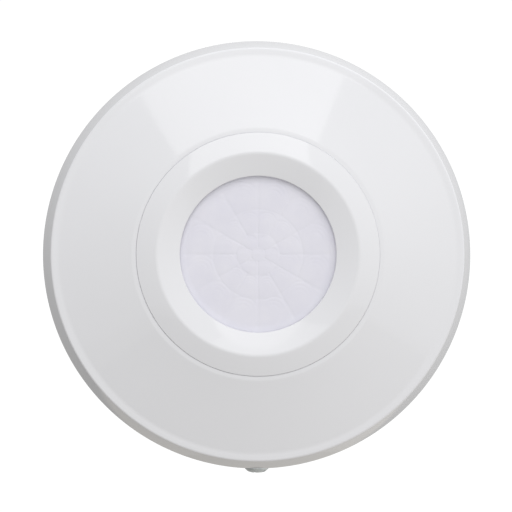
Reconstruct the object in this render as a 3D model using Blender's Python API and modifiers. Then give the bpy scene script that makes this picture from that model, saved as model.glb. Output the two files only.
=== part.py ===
"""Round passive infrared motion detector for a wall or ceiling.

Every piece is modelled in the detector's own frame: the mounting surface is the plane Z = 0, the
front faces +Z and +Y points to the top hooks. An empty turns that frame so that the finished
detector hangs on a wall, with its front towards world -Y and its hooks at the top.
"""

import math

import bmesh
import bpy

MM = 0.001

# Outer form of the housing, in millimetres.
RIM_RADIUS = 71.6
RIM_HEIGHT = 12.4
RIM_WALL = 1.7
SKIRT_HEIGHT = 28.0
SKIRT_FRONT_RADIUS = 68.3
BAND_INNER_RADIUS = 65.75
BAND_RISE = 0.4
DISH_ANGLE = math.radians(17.0)
FUNNEL_ANGLE = math.radians(15.0)
CREST_RADIUS = 33.25
APERTURE_RADIUS = 25.4
WALL = 2.2

# Roundings of the housing's edges.
SEAM_LIP = 0.9
BAND_BLEND = 8.0
SKIRT_EDGE = 0.7
RIM_BLEND = 3.0
REAR_EDGE = 0.2
CREST_BLEND = 3.5
BEZEL_LIP = 0.45
APERTURE_EDGE = 0.35

# Running gap left between neighbouring solids.
GAP = 0.3
SEAM_GAP = 0.35
OVERLAP = 0.5
CUT_PAST = 1.0

# Seam between the cover and the lens bezel.
SEAM_RADIUS = 40.3
BEZEL_RADIUS = SEAM_RADIUS - SEAM_GAP
LEDGE_TOP = 33.2
LEDGE_BOTTOM = 31.4
LEDGE_INNER_RADIUS = 37.6

# Lens and the ring behind it.
LENS_RADIUS = 27.2
LENS_EDGE_BACK = 33.6
LENS_THICKNESS = 1.0
LENS_DOME = 0.4
RETAINER_RADIUS = 41.5
RETAINER_THICKNESS = 1.5
RETAINER_SCREW_CIRCLE = 32.5
RETAINER_SCREW_ANGLES = (90, 210, 330)
RETAINER_SCREW_LENGTH = 4.4
RETAINER_SCREW_SHANK = 1.0
BEZEL_PILOT_TOP = 34.5

# Base plate.
BASE_RADIUS = 69.6
BASE_THICKNESS = 2.4
BASE_WALL_OUTER = 67.2
BASE_WALL_INNER = 65.2
BASE_WALL_TOP = 10.0
FIXING_SLOT_X = 57.0
FIXING_SLOT_RADIUS = 2.4
FIXING_SLOT_SPAN = 7.0
CABLE_ENTRY_Y = 51.5
CABLE_ENTRY_RADIUS = 8.0
GROMMET_BORE_RADIUS = 5.0
GROMMET_FLANGE_RADIUS = 9.4
GROMMET_FLANGE = 1.5
RIB_ANGLES = (45, 135, 225, 315)
RIB_LENGTH = 54.0
RIB_MIDDLE_RADIUS = 38.8
RIB_WIDTH = 1.5
RIB_TOP = 4.7
BOARD_POST_RADIUS = 3.2
BOARD_PILOT_RADIUS = 1.55

# Top hooks, and the windows of the cover that they pass through.
HOOK_X = 6.0
HOOK_WIDTH = 6.0
HOOK_BOTTOM = 3.7
HOOK_THICKNESS = 1.5
HOOK_TIP_Y = 70.7
WINDOW_BOTTOM = 1.6
WINDOW_TOP = 6.8
WINDOW_SIDE_GAP = 0.5

# Locking screw at six o'clock, along -Y.
LOCK_Z = 8.0
LOCK_SEAT_Y = -70.9
LOCK_HEAD_RADIUS = 3.95
LOCK_HEAD_HEIGHT = 2.05
LOCK_SHANK_RADIUS = 2.0
LOCK_TIP_Y = -53.5
LOCK_POCKET_HALF_WIDTH = 4.3
LOCK_SLOT_HALF_WIDTH = 2.4
LOCK_BOSS_OUTER_Y = -67.0
LOCK_BOSS_INNER_Y = -59.5
LOCK_BOSS_HALF_WIDTH = 6.0
LOCK_BOSS_ABOVE = 5.0
LOCK_RECESS_TURN = math.radians(32.0)
LOCK_SLOT_SIZE = (6.4, 1.6, 1.1)
LOCK_CROSS_SIZE = (1.1, 1.6, 4.4)
INSERT_BORE_RADIUS = 3.5
INSERT_RADIUS = 3.2
INSERT_LENGTH = 7.2
THREAD_BORE_RADIUS = 2.3
CLIP_RADIUS = 3.75
CLIP_THICKNESS = 0.6
CLIP_FROM_TIP = 1.6

# Circuit board.
BOARD_RADIUS = 50.0
BOARD_FLAT_Y = 38.0
BOARD_BACK = 8.6
BOARD_THICKNESS = 1.6
BOARD_TOP = BOARD_BACK + BOARD_THICKNESS
PARTS_Z = BOARD_TOP + GAP
BOARD_SCREWS = ((-38.0, 22.0), (38.0, 22.0), (0.0, -44.0))
BOARD_SCREW_SHANK = 1.25
BOARD_SCREW_LENGTH = 7.0
BOARD_HOLE_RADIUS = 1.7

# Components on the board.
TERMINAL_WAYS = 6
TERMINAL_PITCH = 5.0
TERMINAL_BACK_Y = 28.5
TERMINAL_DEPTH = 8.0
TERMINAL_HEIGHT = 9.0
TERMINAL_SCREW_Y = 32.6
TERMINAL_SCREW_RADIUS = 1.7
TERMINAL_WELL_RADIUS = 2.05
WIRE_ENTRY_SIZE = (3.6, 6.4, 3.8)
WIRE_ENTRY_ABOVE_BOARD = 2.9
CAGE_SIZE = (2.9, 2.6, 2.3)
CAGE_HOLE_SIZE = (1.9, 4.0, 1.1)
DIP_CENTRE = (-24.0, -18.0)
DIP_PITCH = 2.54
DIP_TRAVEL = 1.4
DIP_ON = (True, False, True)
DIP_HALF_WIDTH = 3.2
DIP_HEIGHT = 3.4
DIP_SLIDER_SIZE = (1.0, 1.3, 1.6)
TRIMMER_CENTRE = (24.0, -18.0)
TRIMMER_SIZE = (6.8, 6.8, 4.0)
TRIMMER_ROTOR_RADIUS = 2.4
TRIMMER_SLOT_TURN = math.radians(40.0)
JUMPER_CENTRE = (12.0, -30.0)
JUMPER_PITCH = 2.54
JUMPER_HALF_WIDTH = 1.25
JUMPER_BASE_HEIGHT = 2.4
JUMPER_CAP_HEIGHT = 6.6
JUMPER_PIN_SIZE = (0.64, 0.64, 8.4)
TAMPER_CENTRE = (42.3, -15.4)
TAMPER_TOP = 17.0
TAMPER_HALF_WIDTH = 3.0
TAMPER_HEIGHT = 4.0
TAMPER_PLUNGER_RADIUS = 1.6
TAMPER_POST_RADIUS = 2.2
PYRO_HEIGHT = 4.2
PYRO_CAN_RADIUS = 4.1
PYRO_FLANGE_RADIUS = 4.6
PYRO_FLANGE = 0.6
SEAL_INNER_RADIUS = 5.0
SEAL_OUTER_RADIUS = 7.6
SEAL_HEIGHT = 3.4
RELAY_LOW = (-38.0, -2.0)
RELAY_HIGH = (-23.0, 8.0)
RELAY_HEIGHT = 10.0
CAPACITORS = (("supply_capacitor", (26.0, 8.0), 4.0, 11.0), ("filter_capacitor", (36.0, 5.0), 2.6, 7.5))
REGULATOR_LOW = (13.0, 16.0)
REGULATOR_HIGH = (19.5, 19.5)
REGULATOR_HEIGHT = 1.7
REGULATOR_LEG_PITCH = 2.35
LED_CENTRE = (11.5, 3.0)
LED_HEIGHT = 5.2
LED_RADIUS = 1.5
LED_FLANGE_RADIUS = 1.9
RESISTOR_SPOTS = ((-14.0, -33.0), (-9.0, -36.0), (-9.0, 16.0), (1.0, 18.0))
RESISTOR_SIZE = (3.2, 1.6, 0.6)

FINE = 72
MEDIUM = 48
COARSE = 24
SMALL = 14
TERMINAL_SIDES = 16
PILOT_SIDES = 12


def clear_scene():
    """Remove every object of the starting scene."""
    for item in list(bpy.data.objects):
        bpy.data.objects.remove(item, do_unlink=True)


def new_collection(name):
    """Add a collection to the scene."""
    collection = bpy.data.collections.new(name)
    bpy.context.scene.collection.children.link(collection)
    return collection


clear_scene()
PARTS = new_collection("motion_sensor")
CUTTERS = new_collection("cutters")

WALL_FRAME = bpy.data.objects.new("wall_frame", None)
WALL_FRAME.rotation_euler = (math.radians(90.0), 0.0, 0.0)
PARTS.objects.link(WALL_FRAME)


def make_material(name, colour, roughness, metallic=0.0):
    """A Principled material with one colour."""
    material = bpy.data.materials.new(name)
    material.use_nodes = True
    shader = material.node_tree.nodes["Principled BSDF"]
    shader.inputs["Base Color"].default_value = (*colour, 1.0)
    shader.inputs["Roughness"].default_value = roughness
    shader.inputs["Metallic"].default_value = metallic
    return material


WHITE_GLOSS = make_material("white_gloss_plastic", (0.80, 0.80, 0.81), 0.18)
WHITE_MATTE = make_material("white_matte_plastic", (0.74, 0.74, 0.74), 0.55)
LENS_PLASTIC = make_material("lens_polyethylene", (0.78, 0.79, 0.84), 0.40)
ZINC = make_material("zinc_steel", (0.55, 0.57, 0.58), 0.30, 1.0)
BRASS = make_material("brass", (0.78, 0.60, 0.30), 0.30, 1.0)
NICKEL = make_material("nickel", (0.70, 0.69, 0.66), 0.22, 1.0)
BOARD_GREEN = make_material("board_green", (0.02, 0.16, 0.07), 0.35)
BLACK_PLASTIC = make_material("black_plastic", (0.02, 0.02, 0.022), 0.45)
TERMINAL_GREEN = make_material("terminal_green", (0.03, 0.30, 0.14), 0.40)
RUBBER = make_material("rubber", (0.05, 0.05, 0.05), 0.75)
FOAM = make_material("foam", (0.10, 0.10, 0.11), 0.95)
BLUE_PLASTIC = make_material("blue_plastic", (0.03, 0.10, 0.45), 0.40)
RED_LENS = make_material("red_lens", (0.60, 0.02, 0.02), 0.15)
SLEEVE = make_material("capacitor_sleeve", (0.02, 0.03, 0.10), 0.35)
FILTER_GLASS = make_material("filter_glass", (0.12, 0.10, 0.10), 0.10)
CERAMIC = make_material("ceramic", (0.05, 0.05, 0.05), 0.50)


def on_circle(radius, degrees):
    """A point on a circle round the detector's axis."""
    angle = math.radians(degrees)
    return radius * math.cos(angle), radius * math.sin(angle)


def add_mesh_object(name, mesh, material, centre):
    """Place a mesh in the wall frame; without a material it is a cutter."""
    item = bpy.data.objects.new(name, mesh)
    item.parent = WALL_FRAME
    item.location = [value * MM for value in centre]
    if material is None:
        CUTTERS.objects.link(item)
        item.hide_render = True
        item.display_type = "WIRE"
    else:
        PARTS.objects.link(item)
        mesh.materials.append(material)
    return item


def shade_round(mesh):
    """Shade the round faces smooth and keep the real edges sharp."""
    mesh.shade_smooth()
    mesh.set_sharp_from_angle(angle=math.radians(35.0))


def mesh_from(build):
    """A mesh from a function that fills an empty bmesh."""
    mesh = bpy.data.meshes.new("shape")
    shape = bmesh.new()
    build(shape)
    shape.to_mesh(mesh)
    shape.free()
    return mesh


def box(name, material, size, centre, bevel=0.0):
    """A box, in millimetres, with its edges rounded by a Bevel modifier."""
    def build(shape):
        bmesh.ops.create_cube(shape, size=1.0)
        bmesh.ops.scale(shape, vec=[value * MM for value in size], verts=shape.verts)

    item = add_mesh_object(name, mesh_from(build), material, centre)
    if bevel > 0.0:
        rounding = item.modifiers.new("rounded_edges", "BEVEL")
        rounding.width = bevel * MM
        rounding.segments = 2
    return item


def cylinder(name, material, radius, height, centre, segments=COARSE, along_y=False):
    """A cylinder along Z, or along Y."""
    def build(shape):
        bmesh.ops.create_cone(
            shape, cap_ends=True, segments=segments,
            radius1=radius * MM, radius2=radius * MM, depth=height * MM)

    mesh = mesh_from(build)
    shade_round(mesh)
    item = add_mesh_object(name, mesh, material, centre)
    if along_y:
        item.rotation_euler = (math.radians(90.0), 0.0, 0.0)
    return item


def rounded_corner(before, corner, after, radius, steps):
    """Points of the arc that rounds one corner of an outline."""
    corner_x, corner_z = corner
    reach_in = math.dist(before, corner)
    reach_out = math.dist(corner, after)
    in_x = (before[0] - corner_x) / reach_in
    in_z = (before[1] - corner_z) / reach_in
    out_x = (after[0] - corner_x) / reach_out
    out_z = (after[1] - corner_z) / reach_out
    opening = math.acos(max(-1.0, min(1.0, in_x * out_x + in_z * out_z)))
    tangent = radius / math.tan(opening / 2.0)
    centre_distance = radius / math.sin(opening / 2.0)
    middle_length = math.hypot(in_x + out_x, in_z + out_z)
    centre_x = corner_x + (in_x + out_x) / middle_length * centre_distance
    centre_z = corner_z + (in_z + out_z) / middle_length * centre_distance
    start = math.atan2(corner_z + in_z * tangent - centre_z, corner_x + in_x * tangent - centre_x)
    end = math.atan2(corner_z + out_z * tangent - centre_z, corner_x + out_x * tangent - centre_x)
    sweep = (end - start + math.pi) % (2.0 * math.pi) - math.pi
    points = []
    for step in range(steps + 1):
        angle = start + sweep * step / steps
        points.append((centre_x + radius * math.cos(angle), centre_z + radius * math.sin(angle)))
    return points


def round_outline(corners, closed):
    """Replace each corner (r, z, radius) that has a radius with an arc."""
    points = []
    count = len(corners)
    for index, (r, z, radius) in enumerate(corners):
        at_end = not closed and index in (0, count - 1)
        if radius <= 0.0 or at_end:
            points.append((r, z))
            continue
        before = corners[index - 1][:2]
        after = corners[(index + 1) % count][:2]
        steps = 3 if radius > OVERLAP else 1
        points.extend(rounded_corner(before, (r, z), after, radius, steps))
    return points


def turned(name, material, corners, segments, centre=(0.0, 0.0, 0.0), closed=True, along=0.0):
    """A turned piece: an outline of (r, z, corner radius), down its outer side, and a Screw.

    An outline that is not closed starts and ends on the axis. The angle `along` tips the axis
    about X, so that 90 degrees lays it along -Y.
    """
    points = round_outline(corners, closed)
    mesh = bpy.data.meshes.new("outline")
    edges = [(index, index + 1) for index in range(len(points) - 1)]
    if closed:
        edges.append((len(points) - 1, 0))
    mesh.from_pydata([(r * MM, 0.0, z * MM) for r, z in points], edges, [])
    item = add_mesh_object(name, mesh, material, centre)
    item.rotation_euler = (along, 0.0, 0.0)
    screw = item.modifiers.new("turn", "SCREW")
    screw.axis = "Z"
    screw.steps = segments
    screw.render_steps = segments
    screw.use_merge_vertices = True
    screw.merge_threshold = 0.00001
    screw.use_smooth_shade = True
    return item


def boolean(item, tool, operation):
    """Cut a solid with a tool, or join the tool to it."""
    modifier = item.modifiers.new(tool.name, "BOOLEAN")
    modifier.operation = operation
    modifier.object = tool
    modifier.solver = "EXACT"


def cut(item, *tools):
    """Cut each tool out of a solid."""
    for tool in tools:
        boolean(item, tool, "DIFFERENCE")


def join(item, *tools):
    """Join each tool to a solid."""
    for tool in tools:
        boolean(item, tool, "UNION")


def span_box(name, material, low, high, bevel=0.0):
    """A box from its lowest corner to its highest."""
    size = [high[axis] - low[axis] for axis in range(3)]
    centre = [(high[axis] + low[axis]) / 2.0 for axis in range(3)]
    return box(name, material, size, centre, bevel)


def span_cylinder(name, material, radius, spot, bottom, top, segments=SMALL):
    """An upright cylinder at a spot (x, y), between two heights."""
    centre = (spot[0], spot[1], (bottom + top) / 2.0)
    return cylinder(name, material, radius, top - bottom, centre, segments)


def bar_tool(name, size, centres):
    """Equal boxes in one cutter or joining tool."""
    def build(shape):
        for centre in centres:
            made = bmesh.ops.create_cube(shape, size=1.0)
            bmesh.ops.scale(shape, vec=[value * MM for value in size], verts=made["verts"])
            bmesh.ops.translate(shape, vec=[value * MM for value in centre], verts=made["verts"])

    return add_mesh_object(name, mesh_from(build), None, (0.0, 0.0, 0.0))


def dish_height(radius):
    """Height of the conical front face at a radius."""
    foot = SKIRT_HEIGHT + BAND_RISE
    return foot + (BAND_INNER_RADIUS - radius) * math.tan(DISH_ANGLE)


CREST_HEIGHT = dish_height(CREST_RADIUS)
APERTURE_HEIGHT = CREST_HEIGHT - (CREST_RADIUS - APERTURE_RADIUS) * math.tan(FUNNEL_ANGLE)
LENS_EDGE_FRONT = LENS_EDGE_BACK + LENS_THICKNESS


def add_front_cover():
    """Skirt, rim band and dish in one moulding, open at the back and in the middle."""
    cone_drop = WALL / math.cos(DISH_ANGLE)
    skirt_lean = (RIM_RADIUS - SKIRT_FRONT_RADIUS) / (SKIRT_HEIGHT - RIM_HEIGHT)
    inner_rear_radius = RIM_RADIUS - RIM_WALL
    taper_start = RIM_RADIUS - WALL * math.hypot(1.0, skirt_lean)
    cone_slope = math.tan(DISH_ANGLE)
    level = dish_height(taper_start) - cone_drop - skirt_lean * RIM_HEIGHT * cone_slope
    corner_height = level / (1.0 - skirt_lean * cone_slope)
    corner_radius = taper_start - skirt_lean * (corner_height - RIM_HEIGHT)
    ledge_rise = LEDGE_BOTTOM + cone_drop - dish_height(BAND_INNER_RADIUS)
    ledge_outer = BAND_INNER_RADIUS - ledge_rise / cone_slope
    cover = turned("front_cover", WHITE_GLOSS, [
        (SEAM_RADIUS, dish_height(SEAM_RADIUS), SEAM_LIP),
        (BAND_INNER_RADIUS, SKIRT_HEIGHT + BAND_RISE, BAND_BLEND),
        (SKIRT_FRONT_RADIUS, SKIRT_HEIGHT, SKIRT_EDGE),
        (RIM_RADIUS, RIM_HEIGHT, RIM_BLEND),
        (RIM_RADIUS, 0.0, REAR_EDGE),
        (inner_rear_radius, 0.0, 0.0),
        (inner_rear_radius, RIM_HEIGHT - WALL, 0.0),
        (corner_radius, corner_height, 1.0),
        (ledge_outer, LEDGE_BOTTOM, 0.0),
        (LEDGE_INNER_RADIUS, LEDGE_BOTTOM, 0.0),
        (LEDGE_INNER_RADIUS, LEDGE_TOP, 0.0),
        (SEAM_RADIUS, LEDGE_TOP, 0.0),
    ], FINE)
    for side in (-1, 1):
        half = HOOK_WIDTH / 2.0 + WINDOW_SIDE_GAP
        window = span_box(
            "hook_window_cutter_%d" % side, None,
            (side * HOOK_X - half, BASE_WALL_OUTER, WINDOW_BOTTOM),
            (side * HOOK_X + half, RIM_RADIUS + CUT_PAST, WINDOW_TOP))
        cut(cover, window)
    cut_u_slot(cover, "lock_slot", LOCK_SLOT_HALF_WIDTH, LOCK_BOSS_OUTER_Y)
    cut_u_slot(cover, "lock_pocket", LOCK_POCKET_HALF_WIDTH, LOCK_SEAT_Y)
    post = span_cylinder(
        "tamper_post_tool", None, TAMPER_POST_RADIUS, TAMPER_CENTRE,
        TAMPER_TOP + GAP, LEDGE_BOTTOM + OVERLAP * 2.0)
    join(cover, post)
    return cover


def cut_u_slot(cover, name, half_width, inner_y):
    """Cut a slot, open at the rear edge and round at its front end, in the skirt at six o'clock."""
    outer_y = -RIM_RADIUS - CUT_PAST * 2.0
    depth = inner_y - outer_y
    middle = (inner_y + outer_y) / 2.0
    straight = span_box(
        name + "_straight_cutter", None,
        (-half_width, outer_y, -CUT_PAST), (half_width, inner_y, LOCK_Z))
    rounded = cylinder(
        name + "_round_cutter", None, half_width, depth, (0.0, middle, LOCK_Z), COARSE, along_y=True)
    cut(cover, straight, rounded)


def add_lens_bezel():
    """Ring inside the seam: the rest of the cone, a rounded crest and the funnel to the lens."""
    lens_pocket = LENS_RADIUS + 0.4
    bezel = turned("lens_bezel", WHITE_GLOSS, [
        (CREST_RADIUS, CREST_HEIGHT, CREST_BLEND),
        (BEZEL_RADIUS, dish_height(BEZEL_RADIUS), BEZEL_LIP),
        (BEZEL_RADIUS, LEDGE_TOP + GAP, 0.0),
        (LEDGE_INNER_RADIUS - GAP, LEDGE_TOP + GAP, 0.0),
        (LEDGE_INNER_RADIUS - GAP, LEDGE_BOTTOM, 0.0),
        (lens_pocket, LEDGE_BOTTOM, 0.0),
        (lens_pocket, LENS_EDGE_FRONT + GAP, 0.0),
        (APERTURE_RADIUS, LENS_EDGE_FRONT + GAP, 0.0),
        (APERTURE_RADIUS, APERTURE_HEIGHT, APERTURE_EDGE),
    ], FINE)
    for number, angle in enumerate(RETAINER_SCREW_ANGLES, start=1):
        spot = on_circle(RETAINER_SCREW_CIRCLE, angle)
        cut(bezel, span_cylinder(
            "bezel_screw_cutter_%d" % number, None, RETAINER_SCREW_SHANK + GAP, spot,
            LEDGE_BOTTOM - CUT_PAST, BEZEL_PILOT_TOP, PILOT_SIDES))
    return bezel


def add_fresnel_lens():
    """Thin disc with a shallow dome, held by its flat edge."""
    corners = []
    steps = 3
    for step in range(steps + 1):
        share = step / steps
        corners.append((APERTURE_RADIUS * share, LENS_EDGE_FRONT + LENS_DOME * (1.0 - share ** 2), 0.0))
    corners.append((LENS_RADIUS, LENS_EDGE_FRONT, 0.0))
    corners.append((LENS_RADIUS, LENS_EDGE_BACK, 0.0))
    for step in range(steps + 1):
        share = 1.0 - step / steps
        corners.append((APERTURE_RADIUS * share, LENS_EDGE_BACK + LENS_DOME * (1.0 - share ** 2), 0.0))
    return turned("fresnel_lens", LENS_PLASTIC, corners, MEDIUM, closed=False)


def add_lens_retainer():
    """Ring behind the lens, screwed to the bezel, that clamps lens, bezel and cover together."""
    top = LEDGE_BOTTOM - GAP
    bottom = top - RETAINER_THICKNESS
    inner = APERTURE_RADIUS + 0.4
    retainer = turned("lens_retainer", WHITE_MATTE, [
        (inner, LENS_EDGE_BACK - GAP, 0.0),
        (LENS_RADIUS, LENS_EDGE_BACK - GAP, 0.0),
        (LENS_RADIUS, top, 0.0),
        (RETAINER_RADIUS, top, 0.0),
        (RETAINER_RADIUS, bottom, 0.0),
        (inner, bottom, 0.0),
    ], MEDIUM)
    for number, angle in enumerate(RETAINER_SCREW_ANGLES, start=1):
        spot = on_circle(RETAINER_SCREW_CIRCLE, angle)
        cut(retainer, span_cylinder(
            "retainer_screw_cutter_%d" % number, None, RETAINER_SCREW_SHANK + GAP, spot,
            bottom - CUT_PAST, top + CUT_PAST, PILOT_SIDES))
        add_small_screw(
            "retainer_screw_%d" % number, spot, bottom - GAP,
            RETAINER_SCREW_SHANK, RETAINER_SCREW_LENGTH, -1)
    return retainer


def add_small_screw(name, spot, seat, shank_radius, length, facing):
    """Pan head screw with a cross recess; `facing` is the side of Z that its head points to."""
    head_radius = shank_radius * 2.0
    head_height = shank_radius * 1.3
    along = 0.0 if facing > 0 else math.pi
    screw = turned(name, ZINC, [
        (0.0, head_height, 0.0),
        (head_radius * 0.6, head_height, 0.0),
        (head_radius, head_height * 0.45, 0.0),
        (head_radius, 0.0, 0.0),
        (shank_radius, 0.0, 0.0),
        (shank_radius, -length, 0.0),
        (0.0, -length, 0.0),
    ], SMALL, centre=(*spot, seat), closed=False, along=along)
    for turn, direction in enumerate(("x", "y")):
        size = (head_radius * 1.1, 0.5, head_height)
        centre = (*spot, seat + facing * head_height)
        recess = box("%s_recess_cutter_%s" % (name, direction), None, size, centre)
        recess.rotation_euler = (0.0, 0.0, math.radians(90.0 * turn + 20.0))
        cut(screw, recess)
    return screw


def add_rear_base():
    """Plate with a rim wall, hooks, locking boss, board posts, ribs, slots and cable entry."""
    base = turned("rear_base", WHITE_MATTE, [
        (0.0, BASE_THICKNESS, 0.0),
        (BASE_WALL_INNER, BASE_THICKNESS, 0.0),
        (BASE_WALL_INNER, BASE_WALL_TOP, 0.0),
        (BASE_WALL_OUTER, BASE_WALL_TOP, 0.0),
        (BASE_WALL_OUTER, BASE_THICKNESS, 0.0),
        (BASE_RADIUS, BASE_THICKNESS, 0.0),
        (BASE_RADIUS, 0.0, 0.0),
        (0.0, 0.0, 0.0),
    ], FINE, closed=False)
    sunk = BASE_THICKNESS - OVERLAP
    for side in (-1, 1):
        half = HOOK_WIDTH / 2.0
        join(base, span_box(
            "hook_tool_%d" % side, None,
            (side * HOOK_X - half, BASE_WALL_INNER + OVERLAP, HOOK_BOTTOM),
            (side * HOOK_X + half, HOOK_TIP_Y, HOOK_BOTTOM + HOOK_THICKNESS)))
    join(base, span_box(
        "lock_boss_tool", None,
        (-LOCK_BOSS_HALF_WIDTH, LOCK_BOSS_OUTER_Y, sunk),
        (LOCK_BOSS_HALF_WIDTH, LOCK_BOSS_INNER_Y, LOCK_Z + LOCK_BOSS_ABOVE)))
    rib_bottom = BASE_THICKNESS / 2.0 + OVERLAP
    rib_size = (RIB_LENGTH, RIB_WIDTH, RIB_TOP - rib_bottom)
    for number, angle in enumerate(RIB_ANGLES, start=1):
        rib_centre = (*on_circle(RIB_MIDDLE_RADIUS, angle), (RIB_TOP + rib_bottom) / 2.0)
        rib = box("rib_tool_%d" % number, None, rib_size, rib_centre)
        rib.rotation_euler = (0.0, 0.0, math.radians(angle))
        join(base, rib)
    for number, spot in enumerate(BOARD_SCREWS, start=1):
        join(base, span_cylinder(
            "board_post_tool_%d" % number, None, BOARD_POST_RADIUS, spot, sunk, BOARD_BACK - GAP))
    cut_base_openings(base)
    return base


def cut_base_openings(base):
    """Screw pilots, insert bore, cable entry and the two fixing slots."""
    for number, spot in enumerate(BOARD_SCREWS, start=1):
        cut(base, span_cylinder(
            "board_pilot_cutter_%d" % number, None, BOARD_PILOT_RADIUS, spot,
            BASE_THICKNESS + OVERLAP, BOARD_BACK + CUT_PAST, PILOT_SIDES))
    bore_length = LOCK_BOSS_INNER_Y - LOCK_BOSS_OUTER_Y + CUT_PAST * 4.0
    bore_middle = (LOCK_BOSS_INNER_Y + LOCK_BOSS_OUTER_Y) / 2.0
    cut(base, cylinder(
        "insert_bore_cutter", None, INSERT_BORE_RADIUS, bore_length, (0.0, bore_middle, LOCK_Z),
        SMALL, along_y=True))
    cut(base, span_cylinder(
        "cable_entry_cutter", None, CABLE_ENTRY_RADIUS, (0.0, CABLE_ENTRY_Y),
        -CUT_PAST, BASE_THICKNESS + CUT_PAST, COARSE))
    for side in (-1, 1):
        middle_x = side * FIXING_SLOT_X
        cut(base, span_box(
            "fixing_slot_cutter_%d" % side, None,
            (middle_x - FIXING_SLOT_RADIUS, -FIXING_SLOT_SPAN / 2.0, -CUT_PAST),
            (middle_x + FIXING_SLOT_RADIUS, FIXING_SLOT_SPAN / 2.0, BASE_THICKNESS + CUT_PAST)))
        for end in (-1, 1):
            spot = (middle_x, end * FIXING_SLOT_SPAN / 2.0)
            cut(base, span_cylinder(
                "fixing_slot_end_cutter_%d_%d" % (side, end), None, FIXING_SLOT_RADIUS, spot,
                -CUT_PAST, BASE_THICKNESS + CUT_PAST))


def add_cable_grommet():
    """Rubber ring in the cable entry."""
    flange_back = BASE_THICKNESS + GAP
    turned("cable_grommet", RUBBER, [
        (GROMMET_BORE_RADIUS, flange_back + GROMMET_FLANGE, 0.0),
        (GROMMET_FLANGE_RADIUS, flange_back + GROMMET_FLANGE, 0.5),
        (GROMMET_FLANGE_RADIUS, flange_back, 0.0),
        (CABLE_ENTRY_RADIUS - GAP, flange_back, 0.0),
        (CABLE_ENTRY_RADIUS - GAP, GAP, 0.0),
        (GROMMET_BORE_RADIUS, GAP, 0.0),
    ], COARSE, centre=(0.0, CABLE_ENTRY_Y, 0.0))


def add_lock():
    """Brass insert, retaining clip and pan head locking screw, all on one axis."""
    lay_down = math.radians(90.0)
    turned("locking_insert", BRASS, [
        (THREAD_BORE_RADIUS, INSERT_LENGTH, 0.0),
        (INSERT_RADIUS, INSERT_LENGTH, 0.2),
        (INSERT_RADIUS, 0.0, 0.2),
        (THREAD_BORE_RADIUS, 0.0, 0.0),
    ], COARSE, centre=(0.0, LOCK_BOSS_INNER_Y - 0.1, LOCK_Z), along=lay_down)
    turned("retaining_clip", ZINC, [
        (THREAD_BORE_RADIUS, CLIP_THICKNESS, 0.0),
        (CLIP_RADIUS, CLIP_THICKNESS, 0.0),
        (CLIP_RADIUS, 0.0, 0.0),
        (THREAD_BORE_RADIUS, 0.0, 0.0),
    ], COARSE, centre=(0.0, LOCK_TIP_Y - CLIP_FROM_TIP, LOCK_Z), along=lay_down)
    head_base = -(LOCK_SEAT_Y - GAP)
    dome = head_base + LOCK_HEAD_HEIGHT
    screw = turned("locking_screw", ZINC, [
        (0.0, dome, 0.0),
        (1.8, dome - 0.12, 0.0),
        (3.0, dome - 0.60, 0.0),
        (LOCK_HEAD_RADIUS, dome - 1.2, 0.2),
        (LOCK_HEAD_RADIUS, head_base, 0.0),
        (LOCK_SHANK_RADIUS, head_base, 0.0),
        (LOCK_SHANK_RADIUS, -LOCK_TIP_Y + 0.5, 0.0),
        (1.5, -LOCK_TIP_Y, 0.0),
        (0.0, -LOCK_TIP_Y, 0.0),
    ], COARSE, centre=(0.0, 0.0, LOCK_Z), closed=False, along=lay_down)
    for name, size in (("slot", LOCK_SLOT_SIZE), ("cross", LOCK_CROSS_SIZE)):
        recess = box("lock_%s_cutter" % name, None, size, (0.0, -dome, LOCK_Z))
        recess.rotation_euler = (0.0, LOCK_RECESS_TURN, 0.0)
        cut(screw, recess)


def add_circuit_board():
    """Round board with a flat beside the cable entry, and its fixing screws."""
    board = span_cylinder(
        "circuit_board", BOARD_GREEN, BOARD_RADIUS, (0.0, 0.0), BOARD_BACK, BOARD_TOP, MEDIUM)
    below = BOARD_BACK - CUT_PAST
    above = BOARD_TOP + CUT_PAST
    cut(board, span_box(
        "board_flat_cutter", None,
        (-BOARD_RADIUS, BOARD_FLAT_Y, below), (BOARD_RADIUS, BOARD_RADIUS + CUT_PAST, above)))
    for number, spot in enumerate(BOARD_SCREWS, start=1):
        cut(board, span_cylinder(
            "board_hole_cutter_%d" % number, None, BOARD_HOLE_RADIUS, spot, below, above, PILOT_SIDES))
        add_small_screw(
            "board_screw_%d" % number, spot, PARTS_Z, BOARD_SCREW_SHANK, BOARD_SCREW_LENGTH, 1)


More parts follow.
